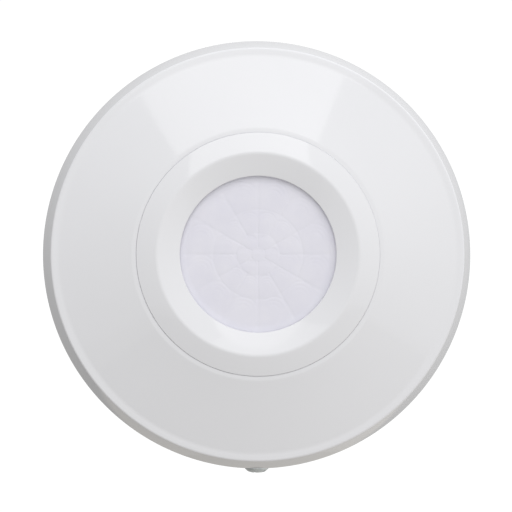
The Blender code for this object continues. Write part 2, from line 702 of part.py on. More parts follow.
def add_pyro_sensor():
    """Metal can sensor in the middle, with its filter window and a foam ring round it."""
    top = PARTS_Z + PYRO_HEIGHT
    flange_top = PARTS_Z + PYRO_FLANGE
    can = turned("pyro_sensor", NICKEL, [
        (0.0, top, 0.0),
        (PYRO_CAN_RADIUS, top, 0.4),
        (PYRO_CAN_RADIUS, flange_top, 0.0),
        (PYRO_FLANGE_RADIUS, flange_top, 0.0),
        (PYRO_FLANGE_RADIUS, PARTS_Z, 0.0),
        (0.0, PARTS_Z, 0.0),
    ], COARSE, closed=False)
    glass_x, glass_y = 2.0, 1.6
    cut(can, span_box(
        "pyro_window_cutter", None,
        (-glass_x - GAP, -glass_y - GAP, top - OVERLAP - GAP),
        (glass_x + GAP, glass_y + GAP, top + CUT_PAST)))
    span_box(
        "pyro_window", FILTER_GLASS,
        (-glass_x, -glass_y, top - OVERLAP), (glass_x, glass_y, top - 0.05))
    turned("insect_seal", FOAM, [
        (SEAL_INNER_RADIUS, PARTS_Z + SEAL_HEIGHT, 0.0),
        (SEAL_OUTER_RADIUS, PARTS_Z + SEAL_HEIGHT, 0.6),
        (SEAL_OUTER_RADIUS, PARTS_Z, 0.0),
        (SEAL_INNER_RADIUS, PARTS_Z, 0.0),
    ], COARSE)


def add_terminals():
    """Block with one wire entry, clamp cage and screw for each way."""
    half_length = TERMINAL_WAYS * TERMINAL_PITCH / 2.0 + 0.5
    front_y = TERMINAL_BACK_Y + TERMINAL_DEPTH
    top = PARTS_Z + TERMINAL_HEIGHT
    block = span_box(
        "terminal_block", TERMINAL_GREEN,
        (-half_length, TERMINAL_BACK_Y, PARTS_Z), (half_length, front_y, top), 0.3)
    ways = []
    for way in range(TERMINAL_WAYS):
        ways.append((way - (TERMINAL_WAYS - 1) / 2.0) * TERMINAL_PITCH)
    middle_y = front_y - 2.0
    middle_z = PARTS_Z + WIRE_ENTRY_ABOVE_BOARD
    entries = [(x, middle_y, middle_z) for x in ways]
    cut(block, bar_tool("wire_entry_cutter", WIRE_ENTRY_SIZE, entries))
    for number, x in enumerate(ways, start=1):
        spot = (x, TERMINAL_SCREW_Y)
        cut(block, span_cylinder(
            "terminal_well_cutter_%d" % number, None, TERMINAL_WELL_RADIUS, spot,
            middle_z + 1.4, top + CUT_PAST, TERMINAL_SIDES))
        add_terminal_screw(number, spot, top)
        cage = box("terminal_cage_%d" % number, NICKEL, CAGE_SIZE, (*spot, middle_z - 0.4))
        hole_centre = (*spot, middle_z - 0.6)
        cut(cage, box("cage_hole_cutter_%d" % number, None, CAGE_HOLE_SIZE, hole_centre))


def add_terminal_screw(number, spot, block_top):
    """One slotted clamp screw, turning about its own origin."""
    screw = cylinder(
        "terminal_screw_%d" % number, NICKEL, TERMINAL_SCREW_RADIUS, 2.4,
        (*spot, block_top - 1.9), TERMINAL_SIDES)
    slot_size = (0.6, 4.0, 1.2)
    slot = box("terminal_slot_cutter_%d" % number, None, slot_size, (*spot, block_top - 0.7))
    slot.rotation_euler = (0.0, 0.0, math.radians(25.0 * number))
    cut(screw, slot)


def add_chip(name, centre, size, legs_per_side):
    """A moulded chip with a row of legs along each long side."""
    x, y = centre
    width, length, height = size
    lift = 0.4
    chip = box(name, BLACK_PLASTIC, size, (x, y, PARTS_Z + lift + height / 2.0), 0.15)
    pitch = length / legs_per_side
    feet = []
    for side in (-1, 1):
        for leg in range(legs_per_side):
            along = y + (leg - (legs_per_side - 1) / 2.0) * pitch
            feet.append((x + side * width / 2.0, along, PARTS_Z + 0.45))
    join(chip, bar_tool(name + "_legs_tool", (2.4, pitch * 0.35, 0.9), feet))


def add_power_parts():
    """Relay, capacitors, regulator and resistors."""
    relay_low = (*RELAY_LOW, PARTS_Z)
    span_box("alarm_relay", BLACK_PLASTIC, relay_low, (*RELAY_HIGH, PARTS_Z + RELAY_HEIGHT), 0.6)
    for name, spot, radius, height in CAPACITORS:
        top = PARTS_Z + height
        turned(name, SLEEVE, [
            (0.0, top - 0.3, 0.0),
            (radius * 0.78, top - 0.3, 0.0),
            (radius * 0.86, top, 0.0),
            (radius, top - 0.5, 0.0),
            (radius, PARTS_Z + 1.6, 0.0),
            (radius * 0.93, PARTS_Z + 1.2, 0.0),
            (radius, PARTS_Z + 0.8, 0.0),
            (radius, PARTS_Z, 0.0),
            (0.0, PARTS_Z, 0.0),
        ], COARSE, centre=(*spot, 0.0), closed=False)
    regulator = span_box(
        "voltage_regulator", BLACK_PLASTIC,
        (*REGULATOR_LOW, PARTS_Z), (*REGULATOR_HIGH, PARTS_Z + REGULATOR_HEIGHT), 0.15)
    leg_size = (0.8, 2.4, 0.7)
    middle_x = (REGULATOR_LOW[0] + REGULATOR_HIGH[0]) / 2.0
    legs = []
    for place in (-1, 0, 1):
        leg_x = middle_x + place * REGULATOR_LEG_PITCH
        legs.append((leg_x, REGULATOR_LOW[1] - 0.4, PARTS_Z + leg_size[2] / 2.0))
    join(regulator, bar_tool("regulator_legs_tool", leg_size, legs))
    for number, spot in enumerate(RESISTOR_SPOTS, start=1):
        centre = (*spot, PARTS_Z + RESISTOR_SIZE[2] / 2.0)
        box("chip_resistor_%d" % number, CERAMIC, RESISTOR_SIZE, centre)


def add_status_led():
    """Round indicator whose light shows through the lens."""
    top = PARTS_Z + LED_HEIGHT
    flange_top = PARTS_Z + 1.0
    turned("status_led", RED_LENS, [
        (0.0, top, 0.0),
        (0.8, top - 0.2, 0.0),
        (LED_RADIUS, top - 1.5, 0.9),
        (LED_RADIUS, flange_top, 0.0),
        (LED_FLANGE_RADIUS, flange_top, 0.0),
        (LED_FLANGE_RADIUS, PARTS_Z, 0.0),
        (0.0, PARTS_Z, 0.0),
    ], SMALL, centre=(*LED_CENTRE, 0.0), closed=False)


def add_settings_switch():
    """Switch body with one slider for each setting."""
    x, y = DIP_CENTRE
    count = len(DIP_ON)
    top = PARTS_Z + DIP_HEIGHT
    half_length = count * DIP_PITCH / 2.0 + 0.4
    body = span_box(
        "dip_switch", BLUE_PLASTIC,
        (x - half_length, y - DIP_HALF_WIDTH, PARTS_Z), (x + half_length, y + DIP_HALF_WIDTH, top), 0.2)
    centres = []
    for number, switched_on in enumerate(DIP_ON, start=1):
        slider_x = x + (number - (count + 1) / 2.0) * DIP_PITCH
        shift = DIP_TRAVEL / 2.0 if switched_on else -DIP_TRAVEL / 2.0
        centres.append((slider_x, y, top))
        slider_centre = (slider_x, y + shift, top + 0.1)
        box("dip_slider_%d" % number, WHITE_MATTE, DIP_SLIDER_SIZE, slider_centre, 0.1)
    window_size = (
        DIP_SLIDER_SIZE[0] + GAP * 2.0, DIP_TRAVEL + DIP_SLIDER_SIZE[1] + GAP * 2.0, 2.0)
    cut(body, bar_tool("dip_window_cutter", window_size, centres))


def add_range_trimmer():
    """Square trimmer with a rotor that is turned with a screwdriver."""
    height = TRIMMER_SIZE[2]
    top = PARTS_Z + height
    body = box("trimmer", BLUE_PLASTIC, TRIMMER_SIZE, (*TRIMMER_CENTRE, top - height / 2.0), 0.3)
    cut(body, span_cylinder(
        "trimmer_recess_cutter", None, TRIMMER_ROTOR_RADIUS + GAP, TRIMMER_CENTRE,
        top - 1.5, top + CUT_PAST, COARSE))
    rotor = cylinder(
        "trimmer_rotor", WHITE_MATTE, TRIMMER_ROTOR_RADIUS, 1.4, (*TRIMMER_CENTRE, top - 0.4))
    for name, size in (("long", (3.6, 0.7, 1.4)), ("short", (0.7, 2.2, 1.4))):
        slot = box("trimmer_%s_cutter" % name, None, size, (*TRIMMER_CENTRE, top + 0.4))
        slot.rotation_euler = (0.0, 0.0, TRIMMER_SLOT_TURN)
        cut(rotor, slot)


def add_jumper():
    """Two pin header with a cap that pulls off."""
    x, y = JUMPER_CENTRE
    pin_spots = [(x - JUMPER_PITCH / 2.0, y), (x + JUMPER_PITCH / 2.0, y)]
    hole_side = JUMPER_PIN_SIZE[0] + GAP * 2.0
    base_top = PARTS_Z + JUMPER_BASE_HEIGHT
    base = span_box(
        "jumper_base", BLACK_PLASTIC,
        (x - JUMPER_PITCH, y - JUMPER_HALF_WIDTH, PARTS_Z),
        (x + JUMPER_PITCH, y + JUMPER_HALF_WIDTH, base_top), 0.2)
    base_holes = [(*spot, PARTS_Z + JUMPER_BASE_HEIGHT / 2.0) for spot in pin_spots]
    cut(base, bar_tool("jumper_base_cutter", (hole_side, hole_side, 4.0), base_holes))
    for number, spot in enumerate(pin_spots, start=1):
        centre = (*spot, PARTS_Z + JUMPER_PIN_SIZE[2] / 2.0)
        box("jumper_pin_%d" % number, BRASS, JUMPER_PIN_SIZE, centre)
    cap_bottom = base_top + GAP
    cap = span_box(
        "jumper_cap", BLUE_PLASTIC,
        (x - JUMPER_PITCH, y - JUMPER_HALF_WIDTH, cap_bottom),
        (x + JUMPER_PITCH, y + JUMPER_HALF_WIDTH, cap_bottom + JUMPER_CAP_HEIGHT), 0.2)
    cap_holes = [(*spot, cap_bottom + 2.5) for spot in pin_spots]
    cut(cap, bar_tool("jumper_cap_cutter", (hole_side, hole_side, 7.4), cap_holes))


def add_tamper_switch():
    """Switch under the cover's post; its plunger follows the cover as it opens."""
    x, y = TAMPER_CENTRE
    half = TAMPER_HALF_WIDTH
    top = PARTS_Z + TAMPER_HEIGHT
    bore_bottom = PARTS_Z + 1.4
    body = span_box(
        "tamper_switch", BLACK_PLASTIC, (x - half, y - half, PARTS_Z), (x + half, y + half, top), 0.3)
    cut(body, span_cylinder(
        "tamper_bore_cutter", None, TAMPER_PLUNGER_RADIUS + GAP, TAMPER_CENTRE,
        bore_bottom, top + CUT_PAST))
    span_cylinder(
        "tamper_plunger", WHITE_MATTE, TAMPER_PLUNGER_RADIUS, TAMPER_CENTRE,
        bore_bottom + GAP, TAMPER_TOP)


add_rear_base()
add_cable_grommet()
add_lock()
add_circuit_board()
add_pyro_sensor()
add_terminals()
add_chip("microcontroller", (-7.0, -21.0), (7.5, 10.4, 2.2), 8)
add_chip("amplifier_chip", (7.0, -17.0), (4.0, 8.6, 1.7), 7)
add_power_parts()
add_status_led()
add_settings_switch()
add_range_trimmer()
add_jumper()
add_tamper_switch()
add_front_cover()
add_lens_bezel()
add_fresnel_lens()
add_lens_retainer()
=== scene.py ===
"""Looks of the round motion sensor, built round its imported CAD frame.

Lengths are millimetres unless a comment says otherwise. Places are as seen from the front: right, up
and depth in front of the back face. A turned outline is a list of corners (radius from its axis,
distance along the axis, rounding radius).
"""
import math

import bmesh
import bpy
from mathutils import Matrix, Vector


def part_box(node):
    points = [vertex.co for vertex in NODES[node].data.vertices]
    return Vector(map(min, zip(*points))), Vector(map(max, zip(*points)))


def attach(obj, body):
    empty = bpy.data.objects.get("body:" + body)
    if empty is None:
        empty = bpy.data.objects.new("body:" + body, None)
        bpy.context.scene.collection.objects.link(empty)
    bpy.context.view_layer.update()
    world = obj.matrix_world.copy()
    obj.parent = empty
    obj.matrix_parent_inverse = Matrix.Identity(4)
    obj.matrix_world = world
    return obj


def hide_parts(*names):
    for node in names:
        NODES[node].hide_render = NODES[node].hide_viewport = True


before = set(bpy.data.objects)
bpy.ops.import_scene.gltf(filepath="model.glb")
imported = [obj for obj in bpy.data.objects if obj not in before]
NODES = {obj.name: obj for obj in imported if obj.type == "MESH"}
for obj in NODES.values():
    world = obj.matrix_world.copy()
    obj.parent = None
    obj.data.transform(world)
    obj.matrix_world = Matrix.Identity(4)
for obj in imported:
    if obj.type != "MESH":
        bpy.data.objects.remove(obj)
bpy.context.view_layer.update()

MM = 0.001

# ---------------------------------------------------------------- driving dimensions
COVER_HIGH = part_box("front_cover")[1]
BEZEL_LOW, BEZEL_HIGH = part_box("lens_bezel")
LENS_LOW, LENS_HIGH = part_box("fresnel_lens")
SCREW_LOW, SCREW_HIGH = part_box("locking_screw")

# Shown pieces stay a hair or two inside the CAD's surfaces.
HAIR = 0.01

# Cover: upright rim, tapered skirt, flat band and conical dish.
RIM_RADIUS = COVER_HIGH.x / MM - HAIR
RIM_HEIGHT = 12.4
RIM_WALL = 1.7
TAPER_INSET = 2.25
SKIRT_HEIGHT = 28.15
SKIRT_FRONT_RADIUS = 68.3
BAND_INNER_RADIUS = 65.75
BAND_HEIGHT = 28.4
DISH_SLOPE = math.tan(math.radians(17.0))
WALL_RISE = 2.30
LIP_RADIUS = 41.5
LIP_SLOPE = math.tan(math.radians(8.0))
LEDGE_TOP = 33.2
LEDGE_BOTTOM = 31.4
LEDGE_RADIUS = 37.6

# Openings through the cover's wall: the hook windows and the slot and pocket of the locking screw.
HOOK_X = 6.0
WINDOW_DEPTH = 4.2
WINDOW_WIDTH = 7.0
WINDOW_HEIGHT = 5.2
WALL_INSIDE = 66.0
WALL_OUTSIDE = 74.0
LOCK_DEPTH = 8.0
LOCK_SEAT = 70.9
SLOT_HALF_WIDTH = 2.4
POCKET_HALF_WIDTH = 4.1

# Bezel and lens.
BEZEL_RADIUS = (BEZEL_HIGH.x - BEZEL_LOW.x) / 2.0 / MM - 2.0 * HAIR
SEAM_GAP = 0.03
SEAM_INNER_RADIUS = BEZEL_RADIUS + SEAM_GAP
# The bezel rests a hair off the middle of its seat, so the seam all but closes at its upper right.
BEZEL_REST = (0.0115, 0.0164)
BEZEL_PLAY = 0.3
CREST_RADIUS = 33.25
CREST_ROUNDING = 2.2
FUNNEL_SLOPE = math.tan(math.radians(15.0))
LENS_RADIUS = (LENS_HIGH.x - LENS_LOW.x) / 2.0 / MM
APERTURE_RADIUS = LENS_RADIUS - 1.55
LENS_POCKET_RADIUS = APERTURE_RADIUS + 2.2
LENS_EDGE_FRONT = 34.6
LENS_THICKNESS = 1.0
LENS_EDGE_CHAMFER = 0.1
LENS_DOME = 0.4
LENS_HOLLOW = 0.32
# The finely divided part of the lens reaches this far behind the bezel.
RELIEF_MARGIN = 0.3

# Post under the dish that presses the tamper plunger.
POST_SPOT = (42.3, -15.4)
POST_RADIUS = 2.2
POST_TOP = 32.4
POST_BOTTOM = 17.3
POST_CHAMFER = 0.3

# Locking screw: two levels of its head, as distances below the middle of the front, then its own sizes.
LOCK_UNDER_HEAD = 71.2
HEAD_EDGE = 71.85
SHANK_CORE = 1.62
THREAD_ROOT = 1.58
THREAD_CREST = 1.99
THREAD_PITCH = 0.7
THREAD_AFTER_HEAD = 0.6
THREAD_BEFORE_TIP = 0.8
RECESS_DEPTH = 0.85
RECESS_WIDTH = 1.1
RECESS_LENGTHS = (6.4, 4.4)
RECESS_TURN = math.radians(32.0)

# Faces of the circuit board and of what lies on it, as depths.
BOARD_FACE = 10.2
PARTS_FACE = 10.5
TRACE_TOP = 10.24
# Each length of track ends this much lower than the one before, so crossing tracks never share a plane.
TRACE_STEP = 0.0003
SILK_TOP = 10.26
PAD_TOP = 10.30

# Sizes of what is plated, soldered or printed on the board, and the edge of the terminal block.
PAD_RADIUS = 0.75
SCREW_PAD_RADII = (3.5, 2.0)
SILK_WIDTH = 0.18
TRACK_WIDTH = 0.45
TRACK_END_MARGIN = 0.25
TERMINAL_EDGE = 27.5
SWITCH_PITCH = 2.54
CAP_LENGTH = 0.5

# Chips: moulding, first-pin dimple and bent legs.
CHIP_PITCH = 1.27
CHIP_STAND_OFF = 0.1
CHIP_ROUNDING = 0.1
DIMPLE_INSET = 1.0
DIMPLE_RADIUS = 0.42
DIMPLE_DEPTH = 0.12
LEG_THICKNESS = 0.2
LEG_KNEE = 0.45
LEG_SPREAD = 0.22
LEG_BELOW_TOP = 0.75

# Electrolytic cans: rolled groove, turned-in sleeve, lid and stripe.
GROOVE_RISE = 1.7
GROOVE_DEPTH = 0.28
GROOVE_REACH = 0.5
SLEEVE_LIP = 0.8
LID_SEAT_SINK = 0.12
LID_TOP_SINK = 0.04
VENT_WIDTH = 0.16
VENT_DEPTH = 0.06

TURN_SEGMENTS = 288
SMOOTH_ANGLE = math.radians(28.0)
LENS_SMOOTH_ANGLE = math.radians(60.0)
# Metres.
WELD_DISTANCE = 0.000001


# ---------------------------------------------------------------- geometry helpers
def corner_arc(before, corner, after, radius, steps):
    """Points of the arc that rounds one corner of an outline."""
    reach_in = (Vector(before) - Vector(corner)).normalized()
    reach_out = (Vector(after) - Vector(corner)).normalized()
    opening = reach_in.angle(reach_out)
    middle = (reach_in + reach_out).normalized()
    centre = Vector(corner) + middle * (radius / math.sin(opening / 2.0))
    touch = radius / math.tan(opening / 2.0)
    start = Vector(corner) + reach_in * touch - centre
    end = Vector(corner) + reach_out * touch - centre
    first = math.atan2(start.y, start.x)
    sweep = (math.atan2(end.y, end.x) - first + math.pi) % (2.0 * math.pi) - math.pi
    points = []
    for step in range(steps + 1):
        angle = first + sweep * step / steps
        points.append((centre.x + radius * math.cos(angle), centre.y + radius * math.sin(angle)))
    return points


def rounded_outline(corners, closed=True, steps=8):
    """An outline of (r, depth, radius) corners with its corners rounded."""
    points = []
    count = len(corners)
    for index, (r, depth, radius) in enumerate(corners):
        is_end = not closed and index in (0, count - 1)
        if radius <= 0.0 or is_end:
            points.append((r, depth))
            continue
        before = corners[index - 1][:2]
        after = corners[(index + 1) % count][:2]
        points.extend(corner_arc(before, (r, depth), after, radius, steps))
    return points


def front_point(x, y, depth):
    """World position of a point given as seen from the front: right, up and depth towards the viewer."""
    return Vector((x * MM, -depth * MM, y * MM))


def finish_mesh(name, shape, material):
    """Turn a bmesh into an object with outward faces and smooth round parts."""
    bmesh.ops.recalc_face_normals(shape, faces=shape.faces)
    mesh = bpy.data.meshes.new(name)
    shape.to_mesh(mesh)
    shape.free()
    mesh.shade_smooth()
    mesh.set_sharp_from_angle(angle=SMOOTH_ANGLE)
    item = bpy.data.objects.new(name, mesh)
    bpy.context.scene.collection.objects.link(item)
    if material is not None:
        mesh.materials.append(material)
    return item


def outward(x, y, depth):
    """World position of a point (x, y) across an axis that runs front to back, at a depth along it."""
    return front_point(x, y, depth)


def upward(x, depth, y):
    """World position of a point (x, depth) across an axis that runs straight up, at a height along it."""
    return front_point(x, y, depth)


def turned(name, material, points, segments=TURN_SEGMENTS, centre=(0.0, 0.0), closed=True, along=outward):
    """A solid turned about the axis through a centre; a point is (radius, distance along the axis)."""
    shape = bmesh.new()
    rings = []
    for r, level in points:
        if r == 0.0:
            rings.append([shape.verts.new(along(centre[0], centre[1], level))])
            continue
        ring = []
        for step in range(segments):
            angle = 2.0 * math.pi * step / segments
            spot = along(centre[0] + r * math.cos(angle), centre[1] + r * math.sin(angle), level)
            ring.append(shape.verts.new(spot))
        rings.append(ring)
    pairs = list(zip(rings, rings[1:]))
    if closed:
        pairs.append((rings[-1], rings[0]))
    for first, second in pairs:
        for step in range(segments):
            after = (step + 1) % segments
            corners = [
                first[step % len(first)], first[after % len(first)],
                second[after % len(second)], second[step % len(second)]]
            kept = list(dict.fromkeys(corners))
            if len(kept) > 2:
                shape.faces.new(kept)
    return finish_mesh(name, shape, material)


class Pile:
    """Closed prisms gathered into one mesh; each is an outline (u, v) between two levels w."""

    def __init__(self, along=outward):
        self.shape = bmesh.new()
        self.along = along

    def prism(self, outline, low, high, along=None):
        """Add one prism."""
        spot = along or self.along
        layers = []
        for level in (low, high):
            layers.append([self.shape.verts.new(spot(u, v, level)) for u, v in outline])
        self.shape.faces.new(layers[0])
        self.shape.faces.new(list(reversed(layers[1])))
        count = len(outline)
        for index in range(count):
            after = (index + 1) % count
            self.shape.faces.new(
                (layers[0][index], layers[1][index], layers[1][after], layers[0][after]))

    def done(self, name, material, bevel=0.0):
        """The gathered prisms as one object."""
        item = finish_mesh(name, self.shape, material)
        if bevel > 0.0:
            round_edges(item, bevel)
        return item


def round_edges(item, width):
    """Break the sharp edges of a piece by a fine bevel."""
    edge = item.modifiers.new("edge", "BEVEL")
    edge.width = width * MM
    edge.segments = 3
    edge.limit_method = "ANGLE"
    edge.angle_limit = math.radians(40.0)


def rectangle(x, y, width, height):
    """Outline of a rectangle round a centre."""
    return [
        (x - width / 2.0, y - height / 2.0), (x + width / 2.0, y - height / 2.0),
        (x + width / 2.0, y + height / 2.0), (x - width / 2.0, y + height / 2.0)]


def disc(x, y, radius, sides=24):
    """Outline of a circle."""
    points = []
    for step in range(sides):
        angle = 2.0 * math.pi * step / sides
        points.append((x + radius * math.cos(angle), y + radius * math.sin(angle)))
    return points


def stroke(first, second, width):
    """Outline of a straight line with a width."""
    run = (Vector(second) - Vector(first)).normalized()
    across = Vector((-run.y, run.x)) * (width / 2.0)
    start, end = Vector(first), Vector(second)
    return [tuple(point) for point in (start + across, start - across, end - across, end + across)]


def carve(item, cutters):
    """Cut tools out of a piece for good and remove them."""
    for tool in cutters:
        step = item.modifiers.new("carve", "BOOLEAN")
        step.operation = "DIFFERENCE"
        step.object = tool
        step.solver = "EXACT"
    bpy.context.view_layer.update()
    evaluated = item.evaluated_get(bpy.context.evaluated_depsgraph_get())
    mesh = bpy.data.meshes.new_from_object(evaluated)
    item.modifiers.clear()
    item.data = mesh
    mesh.shade_smooth()
    mesh.set_sharp_from_angle(angle=SMOOTH_ANGLE)
    for tool in cutters:
        bpy.data.objects.remove(tool, do_unlink=True)


def place(item, body, slot, *nodes):
    """Attach a piece to what it rides on and hide the nodes it stands for. The slot is not used."""
    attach(item, body)
    if nodes:
        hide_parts(*nodes)


# ---------------------------------------------------------------- materials
# Values that a noise pattern mostly keeps between.
NOISE_MIDDLE = (0.3, 0.7)


class Shader:
    """A node material under construction."""

    def __init__(self, name):
        self.material = bpy.data.materials.new(name)
        self.material.use_nodes = True
        self.tree = self.material.node_tree
        self.surface = self.tree.nodes["Principled BSDF"]

    def node(self, kind, **settings):
        """Add a node and set its properties."""
        made = self.tree.nodes.new(kind)
        for key, value in settings.items():
            setattr(made, key, value)
        return made

    def link(self, source, target):
        """Connect two sockets."""
        self.tree.links.new(source, target)

    def set(self, **values):
        """Set sockets of the surface shader, with _ for each space in a socket's name."""
        for key, value in values.items():
            self.surface.inputs[key.replace("_", " ")].default_value = value

    def coordinates(self):
        """Object coordinates in metres."""
        return self.node("ShaderNodeTexCoord").outputs["Object"]

    def noise(self, scale, detail=2.0, roughness=0.5):
        """A noise texture; scale is cycles per metre."""
        made = self.node("ShaderNodeTexNoise")
        made.inputs["Scale"].default_value = scale
        made.inputs["Detail"].default_value = detail
        made.inputs["Roughness"].default_value = roughness
        self.link(self.coordinates(), made.inputs["Vector"])
        return made.outputs["Fac"]

    def spread(self, source, low, high):
        """Stretch the middle of a noise pattern over a range of values."""
        made = self.node("ShaderNodeMapRange")
        made.inputs["From Min"].default_value, made.inputs["From Max"].default_value = NOISE_MIDDLE
        made.inputs["To Min"].default_value = low
        made.inputs["To Max"].default_value = high
        self.link(source, made.inputs["Value"])
        return made.outputs["Result"]

    def ramp(self, source, dark, light):
        """Mix two colours by a pattern."""
        made = self.node("ShaderNodeMix", data_type="RGBA")
        self.link(source, made.inputs["Factor"])
        made.inputs["A"].default_value = (*dark, 1.0)
        made.inputs["B"].default_value = (*light, 1.0)
        return made.outputs["Result"]

    def bump(self, height, distance):
        """Bump the surface by a pattern, over any bump it has; distance is in metres."""
        made = self.node("ShaderNodeBump")
        made.inputs["Strength"].default_value = 1.0
        made.inputs["Distance"].default_value = distance
        self.link(height, made.inputs["Height"])
        before = self.surface.inputs["Normal"].links
        if before:
            self.link(before[0].from_socket, made.inputs["Normal"])
        self.link(made.outputs["Normal"], self.surface.inputs["Normal"])


# Skin of every finish, in cycles per metre and metres, and the unevenness of its gloss.
SKIN_SCALE = 260.0
SKIN_DEPTH = 0.000002
GLOSS_SPREAD = 0.12


def finish(name, dark, light, roughness, grain=0.0, grain_scale=2600.0, drift_scale=30.0, **settings):
    """A solid finish: faint colour drift, uneven gloss and a fine skin; grain is a bump in metres."""
    shader = Shader(name)
    shader.set(IOR=1.50, **settings)
    drift = shader.spread(shader.noise(drift_scale, 3.0), 0.0, 1.0)
    shader.link(shader.ramp(drift, dark, light), shader.surface.inputs["Base Color"])
    gloss = shader.noise(drift_scale * 4.0, 4.0, 0.6)
    uneven = shader.spread(gloss, roughness * (1.0 - GLOSS_SPREAD), roughness * (1.0 + GLOSS_SPREAD))
    shader.link(uneven, shader.surface.inputs["Roughness"])
    shader.bump(shader.noise(SKIN_SCALE, 2.0), SKIN_DEPTH)
    if grain > 0.0:
        shader.bump(shader.noise(grain_scale, 3.0, 0.65), grain)
    return shader.material


def metal(name, dark, light, roughness, grain=0.000004):
    """Plated or bare metal with fine scuffs and uneven shine."""
    return finish(name, dark, light, roughness, grain, 6000.0, 900.0, Metallic=1.0)


GLOSS_WHITE = finish("gloss_white", (0.788, 0.793, 0.820), (0.800, 0.805, 0.832), 0.06)
MATTE_WHITE = finish("matte_white", (0.735, 0.735, 0.742), (0.765, 0.765, 0.768), 0.42, 0.00002)
ZINC = metal("zinc_plate", (0.50, 0.54, 0.56), (0.66, 0.69, 0.70), 0.24)
NICKEL = metal("nickel_plate", (0.62, 0.61, 0.58), (0.74, 0.72, 0.68), 0.22)
BRASS = metal("brass", (0.66, 0.47, 0.20), (0.80, 0.60, 0.29), 0.28)
TIN = metal("tin_solder", (0.66, 0.67, 0.68), (0.82, 0.83, 0.84), 0.27)
ALUMINIUM = metal("aluminium", (0.74, 0.75, 0.76), (0.83, 0.84, 0.85), 0.33)
SOLDER_MASK = finish("solder_mask", (0.010, 0.110, 0.045), (0.014, 0.135, 0.056), 0.22, 0.000006, 3500.0)
COVERED_COPPER = finish("covered_copper", (0.028, 0.200, 0.078), (0.036, 0.225, 0.090), 0.20)
SILK_WHITE = finish("silk_white", (0.72, 0.72, 0.69), (0.78, 0.78, 0.75), 0.60, 0.00001, 7000.0)
BLACK_PLASTIC = finish("black_plastic", (0.016, 0.016, 0.018), (0.026, 0.026, 0.028), 0.46, 0.00001, 5200.0)
TERMINAL_GREEN = finish("terminal_green", (0.020, 0.235, 0.105), (0.028, 0.270, 0.125), 0.36, 0.00001)
RUBBER = finish("rubber", (0.030, 0.030, 0.031), (0.048, 0.048, 0.049), 0.68, 0.00003, 3000.0)
FOAM = finish("foam", (0.050, 0.050, 0.054), (0.110, 0.110, 0.115), 0.95, 0.00022, 2200.0, 900.0)
BLUE_PLASTIC = finish("blue_plastic", (0.020, 0.085, 0.400), (0.030, 0.110, 0.460), 0.34, 0.000008)
SLEEVE = finish("capacitor_sleeve", (0.014, 0.018, 0.075), (0.020, 0.026, 0.095), 0.30)
CERAMIC = finish("resistor_body", (0.018, 0.018, 0.019), (0.030, 0.030, 0.031), 0.30)
FILTER_GLASS = finish("filter_glass", (0.050, 0.036, 0.048), (0.066, 0.050, 0.060), 0.06, Coat_Weight=0.6)
RED_LENS = finish("red_lens", (0.52, 0.010, 0.012), (0.62, 0.018, 0.018), 0.14, Transmission_Weight=0.35)


# ---------------------------------------------------------------- housing
def dish_height(radius):
    """Depth of the conical front face at a radius."""
    return BAND_HEIGHT + (BAND_INNER_RADIUS - radius) * DISH_SLOPE


def build_cover():
    """One fine shell: upright rim, tapered skirt, band and dish, with hook windows and the locking slot."""
    lean = (RIM_RADIUS - SKIRT_FRONT_RADIUS) / (SKIRT_HEIGHT - RIM_HEIGHT)
    inner_rear = RIM_RADIUS - RIM_WALL
    taper_start = RIM_RADIUS - TAPER_INSET
    level = dish_height(taper_start) - WALL_RISE - lean * RIM_HEIGHT * DISH_SLOPE
    corner_height = level / (1.0 - lean * DISH_SLOPE)
    corner_radius = taper_start - lean * (corner_height - RIM_HEIGHT)
    ledge_outer = BAND_INNER_RADIUS - (LEDGE_BOTTOM + WALL_RISE - BAND_HEIGHT) / DISH_SLOPE
    lip_height = dish_height(LIP_RADIUS) + (LIP_RADIUS - SEAM_INNER_RADIUS) * LIP_SLOPE
    outline = rounded_outline([
        (SEAM_INNER_RADIUS, lip_height, 0.15),
        (LIP_RADIUS, dish_height(LIP_RADIUS), 3.0),
        (BAND_INNER_RADIUS, BAND_HEIGHT, 7.0),
        (SKIRT_FRONT_RADIUS, SKIRT_HEIGHT, 0.75),
        (RIM_RADIUS, RIM_HEIGHT, 3.0),
        (RIM_RADIUS, 0.0, 0.25),
        (inner_rear, 0.0, 0.15),
        (inner_rear, RIM_HEIGHT - 2.2, 1.0),
        (corner_radius, corner_height, 1.2),
        (ledge_outer, LEDGE_BOTTOM, 0.8),
        (LEDGE_RADIUS, LEDGE_BOTTOM, 0.15),
        (LEDGE_RADIUS, LEDGE_TOP, 0.15),
        (SEAM_INNER_RADIUS, LEDGE_TOP, 0.1),
    ])
    cover = turned("cover_shell", GLOSS_WHITE, outline)
    openings = []
    for side in (-1, 1):
        window = rectangle(side * HOOK_X, WINDOW_DEPTH, WINDOW_WIDTH, WINDOW_HEIGHT)
        openings.append((window, WALL_INSIDE, WALL_OUTSIDE))
    for half_width, inner in ((SLOT_HALF_WIDTH, WALL_INSIDE), (POCKET_HALF_WIDTH, LOCK_SEAT)):
        openings.append((u_outline(half_width), -WALL_OUTSIDE, -inner))
    cutters = []
    for outline, low, high in openings:
        opening = Pile(upward)
        opening.prism(outline, low, high)
        cutters.append(opening.done("opening", None))
    carve(cover, cutters)
    place(cover, "cover", "white_gloss", "front_cover")


def u_outline(half_width):
    """Slot open at the back face and round at its front end, as (x, depth) points."""
    points = [(-half_width, -1.0), (half_width, -1.0)]
    steps = 20
    for step in range(steps + 1):
        angle = math.pi * step / steps
        points.append((half_width * math.cos(angle), LOCK_DEPTH + half_width * math.sin(angle)))
    return points


